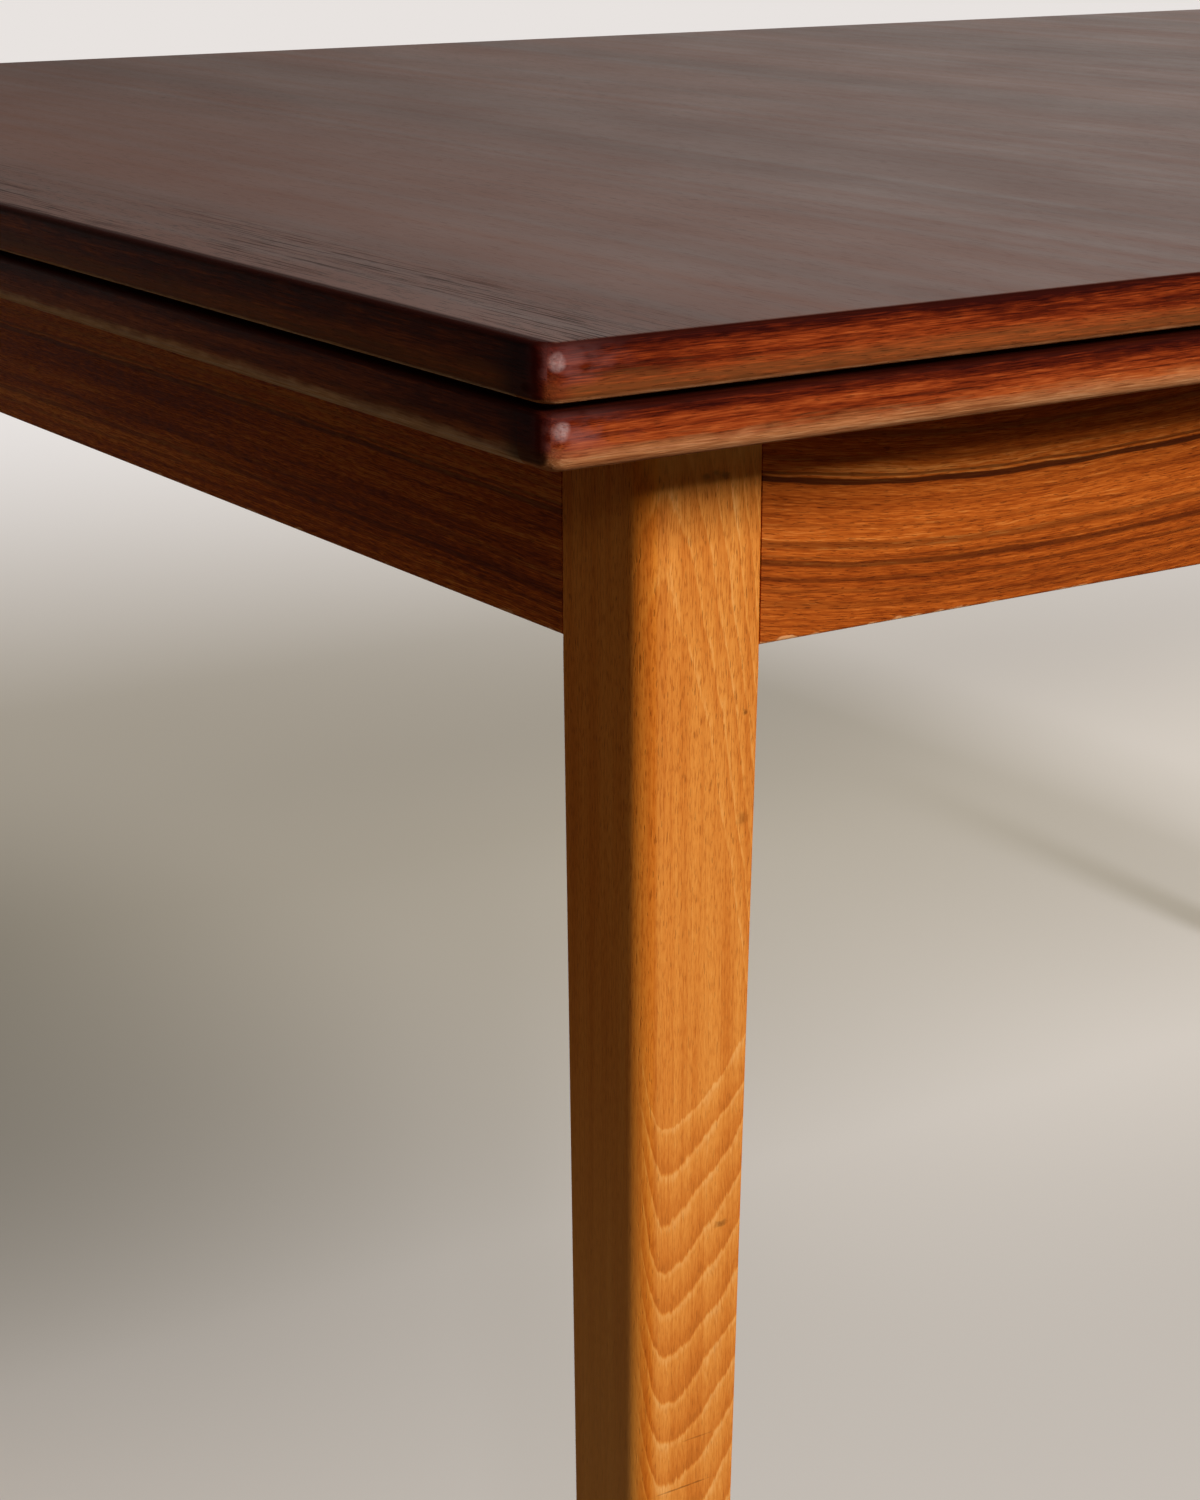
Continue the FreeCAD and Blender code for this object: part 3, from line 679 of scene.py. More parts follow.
        edge = self.wood(shader, at)
        pits = (1 - shader.cells((run, z, depth), self.dent_spacing).step(0.04, 0.15)) * shader.noise(
            (run, z, depth), self.dented_part, 1.0).step(0.50, 0.60)
        edge = shader.mix(pits * 0.75, edge, self.dent)
        tan = shader.ramp(figure.streaks * 0.55 + figure.fibres * 0.45,
                          list(zip((0.36, 0.50, 0.64), self.tans)))
        edge = shader.mix(worn * 0.82, edge, tan)
        corner = (1 - from_end.step(*self.corner_zone)) * (1 - from_side.step(*self.corner_zone))
        edge = self.darkened(shader, edge, at, corner)
        outer = 1 - from_side.step(*self.outer_zone)
        painted_glint = self.painted_glint(at, outer)
        # painted sheen: a pale smear on the long face beside the corner, standing in for a reflection of
        # the light
        painted_sheen = (from_end.ridge(self.sheen_from_end, self.sheen_half)
                * height.ridge(self.thickness * 0.64, self.thickness * 0.46) * outer)
        edge = shader.mix(painted_sheen * chips.step(0.34, 0.62) * 0.30, edge, self.sheen_colour)
        # painted highlight on the corner; the same spot also carries a gloss coat
        edge = shader.mix(painted_glint * 0.44, edge, self.glint_colour)
        roughness = 0.34 + figure.fibres * 0.16 + pits * 0.2 + worn * 0.22
        relief = (figure.fibres * 0.35 + figure.streaks * 0.25 - figure.pores * 0.3 - pits * 1.4
                  + chips * 0.5 + at.grit * corner * 0.35)
        side = shader.surface(edge, roughness, relief, self.depth, Specular_IOR_Level=self.lustre,
                              Coat_Weight=painted_glint, Coat_Roughness=0.35)

        flat = at.facing[2].step(0.80, 0.97) * (z - self.top_level).step(*self.top_fade)
        inside = (from_end / self.end_rim).low(from_side / self.side_rim)
        upper = TeakTop("top").veneer(shader, (y, x, z))
        return shader.node("ShaderNodeMixShader", values={
            0: flat * inside.step(0.7, 1.2), 1: side, 2: upper})


# The end lippings' shaded copy of the edge: painted shade over it, colours of its own for the shaded
# faces, and paler tans that paint light onto the worn lower band.
SHADED_EDGE: dict[str, Any] = {
    "painted_shade_share": 0.22,
    "colours": (paint(46, 16, 8), paint(82, 34, 17), paint(122, 58, 29), paint(160, 88, 48),
                paint(200, 132, 82)),
    "tans": (paint(196, 142, 98), paint(238, 194, 150), paint(252, 226, 194))}


@dataclass(frozen=True)
class GrowthLine:
    """A dark line of an apron: its level above the lower edge, half its width and its strength."""

    level: float
    half: float
    strength: float


@dataclass(frozen=True)
class TeakApron(Finish):
    """Teak apron: orange-brown, fine-fibred, with dark growth lines that sag along it."""

    grain: Grain
    under_level: float
    valley: float
    way: float = 1.0
    lift: float = 0.0
    contrast: float = 0.85
    liveliness: float = 1.0
    sagging: float = 1.0
    fall: float = 0.91
    swell: float = 0.006
    swell_pace: float = 11.2
    growth: Growth = Growth(0.0005, (0.0040, 0.00036), 0.62, (0.06, 0.0012), (0.30, 0.009),
                            (0.0065, 0.00034))
    waver: Point = (0.025, 0.006, 0.02)
    waver_height: float = 0.0016
    # levels where the painted light at the apron's top begins and ends
    shadow_lift_start: Span = (0.0385, 0.0405)
    shadow_lift_end: Span = (0.050, 0.072)
    chip: Point = (0.008, 0.004, 0.004)
    chip_height: float = 0.0050
    rim_height: float = 0.0006
    depth: float = 0.00014
    gloss: float = 0.02
    lines: tuple[GrowthLine, ...] = (
        GrowthLine(0.0035, 0.0014, 0.28), GrowthLine(0.0075, 0.0007, 0.32),
        GrowthLine(0.0108, 0.0007, 0.50), GrowthLine(0.0152, 0.0010, 0.72),
        GrowthLine(0.0170, 0.0005, 0.35), GrowthLine(0.0207, 0.0012, 0.52),
        GrowthLine(0.0262, 0.0006, 0.20), GrowthLine(0.0330, 0.0005, 0.15),
        GrowthLine(0.0390, 0.0009, 1.30), GrowthLine(0.0410, 0.0005, 0.70),
        GrowthLine(0.0455, 0.0009, 0.35), GrowthLine(0.0525, 0.0012, 0.50),
        GrowthLine(0.0600, 0.0010, 0.40))
    shades: Stops = ((0.33, paint(112, 44, 11)), (0.46, paint(160, 73, 20)),
                     (0.58, paint(192, 97, 31)), (0.72, paint(222, 138, 64)))
    line: Colour = paint(42, 13, 7)
    pore: Colour = paint(72, 24, 9)
    bare_rim: Colour = paint(232, 168, 112)

    def sag(self, shader: Shader, along: Value) -> Value:
        """How high the growth lines hang at a place along the apron.

        Args:
            shader: The material.
            along: The place along it.

        Returns:
            The height in metres over the lines' lowest place, which is the valley.
        """
        past = (along - self.valley) * self.way
        before, after = (-past).high(0.0), past.high(0.0)
        wave = shader.node("ShaderNodeMath", {"operation": "COSINE"}, {0: after * self.swell_pace})
        return (before * before * self.fall + (1 - wave) * self.swell) * self.sagging

    def surface(self, shader: Shader, place: Parts) -> Value:
        """The apron's veneer with its growth lines and its chipped lower rim.

        Args:
            shader: The material.
            place: The place on the object.

        Returns:
            The surface's output.
        """
        along, up, deep = self.grain.lay(place)
        waver = shader.noise((along, up, deep), self.waver) - 0.5
        level = up - self.under_level - self.sag(shader, along) + waver * self.waver_height + self.lift
        figure = Figure.of(shader, (along, level, deep), self.growth)
        lines: Number = 0.0
        for line in self.lines:
            mark = 1 - abs(level - line.level).step(line.half * 0.55, line.half * 1.25)
            lines = mark * line.strength + lines
        # painted light: a paler band at the apron's top lifts the shade under the boards' overhang
        shadow_lift = level.step(*self.shadow_lift_start) * (1 - level.step(*self.shadow_lift_end))
        tone = figure.tone(0.34, 0.28, 0.52) - 0.57
        base = shader.ramp(tone * self.liveliness + 0.50 + shadow_lift * 0.07, self.shades)
        strength = (lines * (0.75 + figure.fibres * 0.5)).low(1.0) * self.contrast
        base = shader.mix(strength, base, self.line)
        base = shader.mix(figure.pores * 0.5, base, self.pore)
        chips = shader.noise((along, up, deep), self.chip, 3.0)
        rim = 1 - (up - self.under_level + (chips - 0.5) * self.chip_height).step(0.0, self.rim_height)
        base = shader.mix(rim * 0.85, base, self.bare_rim)
        roughness = 0.46 + figure.fibres * 0.15 + figure.pores * 0.1
        relief = figure.fibres * 0.5 + figure.streaks * 0.1 - figure.pores * 0.5
        return shader.surface(base, roughness, relief, self.depth, Specular_IOR_Level=self.gloss)


@dataclass(frozen=True)
class Mark:
    """A dark mark on a leg: its place across and up, its half width and height, and its strength."""

    across: float
    level: float
    width: float
    height: float
    strength: float


@dataclass(frozen=True)
class BeechLeg(Finish):
    """Oiled beech leg: honey-coloured and flecked, with pale growth lines in nested arches.

    The arches stand on one face at the outer corner. Their crest is a distance from that corner, and
    the lower and the upper set begin at a crown each and repeat at a pitch. Slopes and bows say how
    fast they rise to the crest's right and left, and drifts how far they bend. The spans are heights
    over the floor between which something fades, apart from the left one, which is beside the crest.
    """

    corner: tuple[float, float]
    inward: tuple[int, int]
    turned: bool = False
    crest: float = 0.0068
    lower_crown: float = 0.4898
    upper_crown: float = 0.6560
    marks: tuple[Mark, ...] = ()
    lower_pitch: float = 0.0148
    upper_pitch: float = 0.0250
    crest_round: float = 0.0022
    lower_slope: float = 1.0
    lower_bow: Size = (27, 800)
    lower_drift: float = 0.018
    upper_slope: Size = (1.7, 2)
    upper_bow: Size = (85, 130)
    upper_drift: float = 0.016
    ring_waver: float = 0.035
    left_fade: Span = (0.0030, 0.0062)
    foot_fade: Span = (0.16, 0.36)
    flecked: Span = (0.46, 0.66)
    foot: Span = (0.34, 0.58)
    # heights of the painted light at the leg's top, in the leaf's shadow
    head: Span = (0.672, 0.692)
    mark_depth: float = 0.010
    depth: float = 0.00012
    gloss: float = 0.02
    calm: float = 0.46
    growth: Growth = Growth(0.0012, (0.0042, 0.00060), 0.645, (0.12, 0.0022), (0.16, 0.0055),
                            (0.0040, 0.00048))
    drift: Point = (0.03, 0.03, 0.07)
    fray: Point = (0.0010, 0.0010, 0.009)
    line: Point = (0.09, 0.0008, 0.0008)
    smudge: Point = (0.002, 0.002, 0.0012)
    ring_levels: tuple[tuple[float, float], ...] = (
        (0.0, 0.75), (0.07, 0.71), (0.17, 0.59), (0.45, 0.50), (0.82, 0.34), (0.92, 0.32), (1.0, 0.73))
    shades: Stops = ((0.28, paint(184, 100, 34)), (0.42, paint(213, 124, 47)),
                     (0.55, paint(230, 147, 64)), (0.80, paint(250, 188, 112)))
    fleck: Colour = paint(168, 88, 28)
    pore: Colour = paint(112, 52, 14)
    dark_line: Colour = paint(186, 96, 30)
    pale_foot: Colour = paint(255, 196, 116)
    # colour of the painted light at the leg's top
    leaf_shadow_lift: Colour = paint(255, 200, 112)
    mark: Colour = paint(58, 28, 10)
    # tint of the painted shade on the rounded corners
    terminator_tint: Colour = (1.0, 0.84, 0.50)

    def place(self, shader: Shader) -> Value:
        """The point as seen from the leg's outer corner, with both ways inwards counted up."""
        return shader.node("ShaderNodeMapping", {"vector_type": "TEXTURE"}, {
            "Vector": shader.place(), "Location": (*self.corner, 0.0), "Scale": (*self.inward, 1.0)})

    def rings(self, shader: Shader, s: Value, z: Value, ragged: Value, drift: Value) -> Value:
        """How pale the growth rings make each place: arches that open upwards, closed above.

        Args:
            shader: The material.
            s: The place across the face, from the outer corner.
            z: The height over the floor.
            ragged: Fine noise that frays the rings.
            drift: Broad noise that bends them.

        Returns:
            The level from 0 to 1, which is calm where no ring shows.
        """
        off = s - self.crest
        near = off.soft_abs(self.crest_round)
        right, left = (near + off) * 0.5, (near - off) * 0.5
        lower = (self.lower_crown - z + right * right * self.lower_bow[0] + left * self.lower_slope
                 + left * left * self.lower_bow[1] + drift * self.lower_drift) / self.lower_pitch + 1
        upper = (z - self.upper_crown + right * self.upper_slope[0] + right * right * self.upper_bow[0]
                 + left * self.upper_slope[1] + left * left * self.upper_bow[1]
                 + drift * self.upper_drift) / self.upper_pitch + 1
        above = (upper - lower).step(-0.3, 0.3)
        uneven = shader.noise((0.0, 0.0, z), (1, 1, self.ring_waver), 1.0) - 0.5
        count = lower.high(upper) + ragged * 0.26 + uneven * 0.9
        band = shader.ramp(count.fraction(), [(at, (level,) * 3) for at, level in self.ring_levels])
        strength = (count.step(0.90, 1.0) * (1 - above * 0.35)
                    * (1 - left.step(*self.left_fade) * 0.75) * (z.step(*self.foot_fade) * 0.70 + 0.30))
        return (band - self.calm) * strength + self.calm

    def marked(self, shader: Shader, base: Value, s: Value, t: Value, z: Value) -> Value:
        """Draw the dark marks.

        Args:
            shader: The material.
            base: The leg's colour.
            s: The place across the face.
            t: The depth behind the face.
            z: The height over the floor.

        Returns:
            The colour with the marks.
        """
        blur = shader.noise((s, t, z), self.smudge, 3.0) - 0.5
        for mark in self.marks:
            gap = shader.length((s - mark.across) / mark.width, t / self.mark_depth,
                                (z - mark.level) / mark.height)
            spot = 1 - (gap + blur * (mark.strength * 2.8)).step(0.20, 1.0)
            base = shader.mix(spot * mark.strength, base, self.mark)
        return base

    def surface(self, shader: Shader, place: Parts) -> Value:
        """The leg's wood.

        Args:
            shader: The material.
            place: The place from the outer corner.

        Returns:
            The surface's output.
        """
        first, second, z = place
        s, t = (second, first) if self.turned else (first, second)
        drift = shader.noise((s, t, z), self.drift) - 0.5
        ragged = shader.noise((s, t, z), self.fray) - 0.5
        facing = shader.facing()
        flat = abs(facing[0] if self.turned else facing[1]).step(0.35, 0.80)
        rings = (self.rings(shader, s, z, ragged, drift) - self.calm) * flat + self.calm
        figure = Figure.of(shader, (z, s, t), self.growth)
        upper_part = z.step(*self.flecked) * 0.75 + 0.25
        tone = rings * 0.54 + figure.bands * 0.28 + figure.streaks * 0.18 + figure.fibres * 0.30 - 0.15
        base = shader.ramp(tone, self.shades)
        flecks = 1 - figure.fibres.step(0.38, 0.47)
        base = shader.mix(flecks * upper_part * 0.46, base, self.fleck)
        base = shader.mix(figure.pores * upper_part * 0.46, base, self.pore)
        lines = shader.noise((z, s, t), self.line).step(0.50, 0.72)
        base = shader.mix(lines * 0.30, base, self.dark_line)
        foot = (1 - z.step(*self.foot)) * (1 - flat) * 0.40
        base = shader.mix(foot, base, self.pale_foot)
        base = self.marked(shader, base, s, t, z)
        # painted light: the leg's top in the leaf's shadow is made paler
        base = shader.mix(z.step(*self.head) * flat * 0.65, base, self.leaf_shadow_lift)
        # painted shade: the rounded corners are tinted darker and warmer where the light turns off the
        # faces
        rounded_corner = 1 - abs(facing[0]).high(abs(facing[1])).step(0.90, 0.99)
        base = shader.mix(rounded_corner * 0.9, base, self.terminator_tint, "MULTIPLY")
        roughness = 0.44 + figure.fibres * 0.14 + figure.pores * 0.1
        relief = figure.fibres * 0.4 + rings * 0.1 - figure.pores * 0.6
        return shader.surface(base, roughness, relief, self.depth, Specular_IOR_Level=self.gloss)


@dataclass(frozen=True)
class PlainBeech(Finish):
    """Planed beech of the hidden parts: paler, flecked, dusty in its pores."""

    grain: Grain
    growth: Growth = Growth(0.003, (0.004, 0.0006), 0.65, (0.15, 0.005), (0.5, 0.02), (0.02, 0.0009))
    depth: float = 0.0002
    gloss: float = 0.3
    pale: Colour = paint(206, 164, 112)
    dark: Colour = paint(168, 122, 76)
    pore: Colour = paint(116, 74, 40)

    def surface(self, shader: Shader, place: Parts) -> Value:
        """The planed wood.

        Args:
            shader: The material.
            place: The place on the object.

        Returns:
            The surface's output.
        """
        figure = Figure.of(shader, self.grain.lay(place), self.growth)
        base = shader.ramp(figure.tone(0.4, 0.35, 0.3), [(0.36, self.dark), (0.68, self.pale)])
        base = shader.mix(figure.pores * 0.5, base, self.pore)
        roughness = 0.55 + figure.fibres * 0.2
        relief = figure.fibres * 0.5 - figure.pores * 0.6
        return shader.surface(base, roughness, relief, self.depth, Specular_IOR_Level=self.gloss)


@dataclass(frozen=True)
class BackVeneer(Finish):
    """Backing veneer under the boards: plain reddish brown, unpolished."""

    grain: Grain = ALONG_WIDTH
    growth: Growth = Growth(0.006, band=(0.9, 0.04))
    depth: float = 0.0002
    gloss: float = 0.3
    shades: Stops = ((0.36, paint(104, 62, 38)), (0.55, paint(136, 88, 56)), (0.72, paint(160, 110, 74)))
    pore: Colour = paint(70, 40, 24)

    def surface(self, shader: Shader, place: Parts) -> Value:
        """The unpolished veneer.

        Args:
            shader: The material.
            place: The place on the object.

        Returns:
            The surface's output.
        """
        figure = Figure.of(shader, self.grain.lay(place), self.growth)
        base = shader.ramp(figure.tone(0.4, 0.4, 0.25), self.shades)
        base = shader.mix(figure.pores * 0.6, base, self.pore)
        roughness = 0.58 + figure.fibres * 0.2
        relief = figure.fibres * 0.4 - figure.pores * 0.6
        return shader.surface(base, roughness, relief, self.depth, Specular_IOR_Level=self.gloss)


@dataclass(frozen=True)
class CoreBoard(Finish):
    """Blockboard: softwood strips glued side by side between the veneers."""

    strip: float = 0.024
    joint_share: float = 0.03
    fibre: Point = (0.02, 0.0012, 0.0012)
    depth: float = 0.0002
    shades: Stops = ((0.32, paint(168, 122, 76)), (0.50, paint(194, 152, 104)),
                     (0.66, paint(214, 180, 134)))
    joint: Colour = paint(96, 66, 38)

    def surface(self, shader: Shader, place: Parts) -> Value:
        """The strips, each of its own shade, and the joints between them.

        Args:
            shader: The material.
            place: The place on the object.

        Returns:
            The surface's output.
        """
        count = place[1] / self.strip
        part = count.fraction()
        shade = shader.noise(((count - part) * 0.37, 0.0, 0.0), 1, 1.0)
        fibres = shader.noise(place, self.fibre, 3.0)
        base = shader.ramp(shade * 0.6 + fibres * 0.4, self.shades)
        joint = (1 - part.step(0.0, self.joint_share)).high(part.step(1 - self.joint_share, 1.0))
        base = shader.mix(joint * 0.7, base, self.joint)
        return shader.surface(base, 0.70 + fibres * 0.15, fibres - joint, self.depth)


# Metal, felt and plastic


@dataclass(frozen=True)
class ZincSteel(Finish):
    """Zinc-plated steel: dull grey with a faint yellow cast and dark specks."""

    cloud: float = 0.006
    speck: float = 0.0012
    depth: float = 0.00008
    metal: float = 0.95
    dark: Colour = paint(150, 146, 132)
    pale: Colour = paint(196, 194, 186)
    specked: Colour = paint(96, 84, 66)

    def surface(self, shader: Shader, place: Parts) -> Value:
        """The clouded plating.

        Args:
            shader: The material.
            place: The place on the object.

        Returns:
            The surface's output.
        """
        cloud = shader.noise(place, self.cloud, 4.0)
        speck = shader.noise(place, self.speck).step(0.62, 0.72)
        base = shader.ramp(cloud, [(0.3, self.dark), (0.7, self.pale)])
        base = shader.mix(speck * 0.6, base, self.specked)
        roughness = 0.34 + cloud * 0.2 + speck * 0.2
        return shader.surface(base, roughness, cloud - speck * 0.5, self.depth, Metallic=self.metal)


@dataclass(frozen=True)
class GreenFelt(Finish):
    """Pressed felt of the pads."""

    hair: float = 0.0009
    depth: float = 0.0004
    gloss: float = 0.15
    dark: Colour = paint(44, 62, 42)
    pale: Colour = paint(88, 108, 78)

    def surface(self, shader: Shader, place: Parts) -> Value:
        """The matted hairs.

        Args:
            shader: The material.
            place: The place on the object.

        Returns:
            The surface's output.
        """
        hair = shader.noise(place, self.hair, 4.0, 0.7, 1.5)
        base = shader.ramp(hair, [(0.3, self.dark), (0.7, self.pale)])
        return shader.surface(base, 0.9 + hair * 0.08, hair, self.depth, Specular_IOR_Level=self.gloss)


@dataclass(frozen=True)
class GlidePlastic(Finish):
    """Moulded plastic of the foot glides, scuffed near the floor."""

    cloud: float = 0.004
    scratch: Point = (0.0008, 0.003, 0.0008)
    scuff_height: Span = (0.0004, 0.0022)
    depth: float = 0.0001
    dark: Colour = paint(48, 38, 32)
    pale: Colour = paint(66, 54, 46)
    scuffed: Colour = paint(120, 110, 100)

    def surface(self, shader: Shader, place: Parts) -> Value:
        """The moulded surface with its scuffs.

        Args:
            shader: The material.
            place: The place on the object.

        Returns:
            The surface's output.
        """
        cloud = shader.noise(place, self.cloud, 3.0)
        scuff = shader.noise(place, self.scratch).step(0.58, 0.7)
        worn = scuff * (1 - place[2].step(*self.scuff_height))
        base = shader.ramp(cloud, [(0.3, self.dark), (0.7, self.pale)])
        base = shader.mix(worn * 0.6, base, self.scuffed)
        roughness = 0.48 + cloud * 0.15 + worn * 0.25
        return shader.surface(base, roughness, cloud * 0.5 - worn, self.depth)


# Meshes and node trees


def lathe(name: str, profile: Sequence[Size], steps: int, bore: float = 0.0,
          sides: int = 0) -> bpy.types.Object:
    """Turn a profile of radius and height about the upright axis.

    Args:
        name: The object's name.
        profile: Points from the bottom, round the outside, to the top.
        steps: Facets of a full turn.
        bore: Radius of a hole, at which the profile begins and ends, or 0 for none.
        sides: Flat sides of the outside, or 0 for a round one.

    Returns:
        A closed mesh object.
    """
    form = bmesh.new()
    rings: list[list[bmesh.types.BMVert]] = []
    for radius, height in profile:
        ring = []
        for step in range(steps if radius else 1):
            angle, reach = 2 * math.pi * step / steps, radius
            if sides and radius > bore:
                sector = math.pi / sides
                reach = radius * math.cos(sector) / math.cos((angle % (2 * sector)) - sector)
            ring.append(form.verts.new((reach * math.cos(angle), reach * math.sin(angle), height)))
        rings.append(ring)
    for lower, upper in zip(rings, rings[1:] + (rings[:1] if bore else [])):
        for step in range(steps):
            after = (step + 1) % steps
            corners = [lower[step % len(lower)], lower[after % len(lower)],
                       upper[after % len(upper)], upper[step % len(upper)]]
            form.faces.new(list(dict.fromkeys(corners)))
    bmesh.ops.recalc_face_normals(form, faces=form.faces)
    return finish_mesh(name, form)


def finish_mesh(name: str, form: bmesh.types.BMesh) -> bpy.types.Object:
    """Turn a bmesh into an object that is shaded smooth apart from its sharp edges.

    Args:
        name: The object's name.
        form: The mesh under construction, which is freed.

    Returns:
        The object, linked to the scene.
    """
    for face in form.faces:
        face.smooth = True
    for edge in form.edges:
        if len(edge.link_faces) == 2:
            edge.smooth = edge.calc_face_angle(0.0) < SMOOTH_BELOW
    mesh = bpy.data.meshes.new(name)
    form.to_mesh(mesh)
    form.free()
    return hang(name, mesh)


def hang(name: str, data: bpy.types.ID) -> bpy.types.Object:
    """Put a mesh, a lamp or a camera into the scene.

    Args:
        name: The object's name.
        data: What it holds.

    Returns:
        The object.
    """
    made = bpy.data.objects.new(name, data)
    bpy.context.scene.collection.objects.link(made)
    return made


def spots_at(xs: Sequence[float], ys: Sequence[float], level: float, lean: Point = UPRIGHT) -> list[Spot]:
    """Every crossing of some places along the table and some across it, at one level."""
    return [((x, y, level), lean) for x in xs for y in ys]


SCATTER_INPUTS: tuple[tuple[str, str, float | None], ...] = (
    ("Spots", "NodeSocketGeometry", None), ("Fitting", "NodeSocketObject", None),
    ("Scale", "NodeSocketFloat", 1.0), ("Greatest turn", "NodeSocketFloat", 0.0),
    ("Finish", "NodeSocketMaterial", None))

SCATTER_NODES: dict[str, tuple[str, dict[str, Any]]] = {
    "given": ("NodeGroupInput", {}),
    "result": ("NodeGroupOutput", {}),
    "fitting": ("GeometryNodeObjectInfo", {"transform_space": "ORIGINAL"}),
    "spread": ("GeometryNodeInstanceOnPoints", {}),
    "facing": ("GeometryNodeInputNamedAttribute", {"data_type": "FLOAT_VECTOR"}),
    "chance": ("FunctionNodeRandomValue", {"data_type": "FLOAT"}),
    "spin": ("ShaderNodeCombineXYZ", {}),
    "twist": ("FunctionNodeRotateRotation", {"rotation_space": "LOCAL"}),
    "lean": ("FunctionNodeEulerToRotation", {}),
    "own": ("FunctionNodeEulerToRotation", {}),
    "real": ("GeometryNodeRealizeInstances", {}),
    "dress": ("GeometryNodeSetMaterial", {})}

RANDOM_FLOAT_MAX, RANDOM_FLOAT_OUT, RANDOM_SEED = 3, 1, 7

SCATTER_LINKS: tuple[tuple[str, str | int, str, str | int], ...] = (
    ("given", "Fitting", "fitting", "Object"),
    ("given", "Spots", "spread", "Points"),
    ("fitting", "Geometry", "spread", "Instance"),
    ("given", "Greatest turn", "chance", RANDOM_FLOAT_MAX),
    ("chance", RANDOM_FLOAT_OUT, "spin", "Z"),
    ("facing", "Attribute", "lean", "Euler"),
    ("spin", "Vector", "own", "Euler"),
    ("lean", "Rotation", "twist", "Rotation"),
    ("own", "Rotation", "twist", "Rotate By"),
    ("twist", "Rotation", "spread", "Rotation"),
    ("given", "Scale", "spread", "Scale"),
    ("spread", "Instances", "real", "Geometry"),
    ("real", "Geometry", "dress", "Geometry"),
    ("given", "Finish", "dress", "Material"),
    ("dress", "Geometry", "result", "Fittings"))


def scatter_tree(name: str) -> bpy.types.NodeTree:
    """A node tree that sets one fitting on every given spot, leaning as the spot's attribute says.

    Args:
        name: The tree's name.

    Returns:
        A tree with inputs for the fitting, its scale, its greatest turn and its finish.
    """
    tree = bpy.data.node_groups.new(name, "GeometryNodeTree")
    for title, kind, start in SCATTER_INPUTS:
        socket = tree.interface.new_socket(title, in_out="INPUT", socket_type=kind)
        if start is not None:
            socket.default_value = start
    tree.interface.new_socket("Fittings", in_out="OUTPUT", socket_type="NodeSocketGeometry")
    made: dict[str, bpy.types.Node] = {}
    for key, (kind, settings) in SCATTER_NODES.items():
        made[key] = tree.nodes.new(kind)
        for setting, choice in settings.items():
            setattr(made[key], setting, choice)
    made["facing"].inputs["Name"].default_value = "lean"
    made["chance"].inputs["Seed"].default_value = RANDOM_SEED
    for source, output, target, entry in SCATTER_LINKS:
        tree.links.new(made[source].outputs[output], made[target].inputs[entry])
    return tree


@dataclass
class Scatter:
    """Sets copies of one fitting on spots of a body."""

    tree: bpy.types.NodeTree

    def piece(self, name: str, fitting: bpy.types.Object, spots: Sequence[Spot],
              finish: bpy.types.Material, turn: float = 0.0) -> bpy.types.Object:
        """Make one plain mesh of all the copies.

        Args:
            name: The piece's name.
            fitting: The object that is copied.
            spots: Where each copy stands and how it leans, as Euler angles.
            finish: The copies' material.
            turn: The greatest turn of a copy about its own axis.

        Returns:
            The finished piece at the origin.
        """
        mesh = bpy.data.meshes.new(name + "_spots")
        mesh.from_pydata([place for place, _ in spots], [], [])
        leans = mesh.attributes.new("lean", "FLOAT_VECTOR", "POINT")
        for index, (_, lean) in enumerate(spots):
            leans.data[index].vector = lean
        holder = hang(name, mesh)
        modifier = holder.modifiers.new("copies", "NODES")
        modifier.node_group = self.tree
        given = {"Fitting": fitting, "Greatest turn": turn, "Finish": finish}
        for item in self.tree.interface.items_tree:
            if item.in_out == "INPUT" and item.name in given:
                modifier[item.identifier] = given[item.name]
        graph = bpy.context.evaluated_depsgraph_get()
        solid = bpy.data.meshes.new_from_object(holder.evaluated_get(graph))
        holder.modifiers.remove(modifier)
        holder.data = solid
        holder.data.name = name
        return holder


def put_away(*objects: bpy.types.Object) -> None:
    """Remove pattern objects that were only copied."""
    for item in objects:
        bpy.data.objects.remove(item)


# The table's parts


@dataclass
class Dresser:
    """Gives carried-over nodes their materials and reports what it did."""

    nodes: dict[str, bpy.types.Object]
    done: set[str] = field(default_factory=set)

    def dress(self, node: str, material: bpy.types.Material) -> None:
        """Give a node one material.

        Args:
            node: The node's name.
            material: What it wears.
        """
        slots = self.nodes[node].data.materials
        slots.clear()
        slots.append(material)
        self.done.add(node)
        log.info("node %s wears %s", node, material.name)

    def report(self, piece: bpy.types.Object, body: str, slot: Slot, *stands_for: str) -> None:
        """Hand a finished new piece over.

        Args:
            piece: The piece.
            body: The body that it rides on.
            slot: The material slot meant for it; not used.
            stands_for: The nodes that it replaces.
        """
        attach(piece, body)
        if stands_for:
            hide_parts(*stands_for)
            self.done.update(stands_for)
        log.info("piece %s rides on %s", piece.name, body)


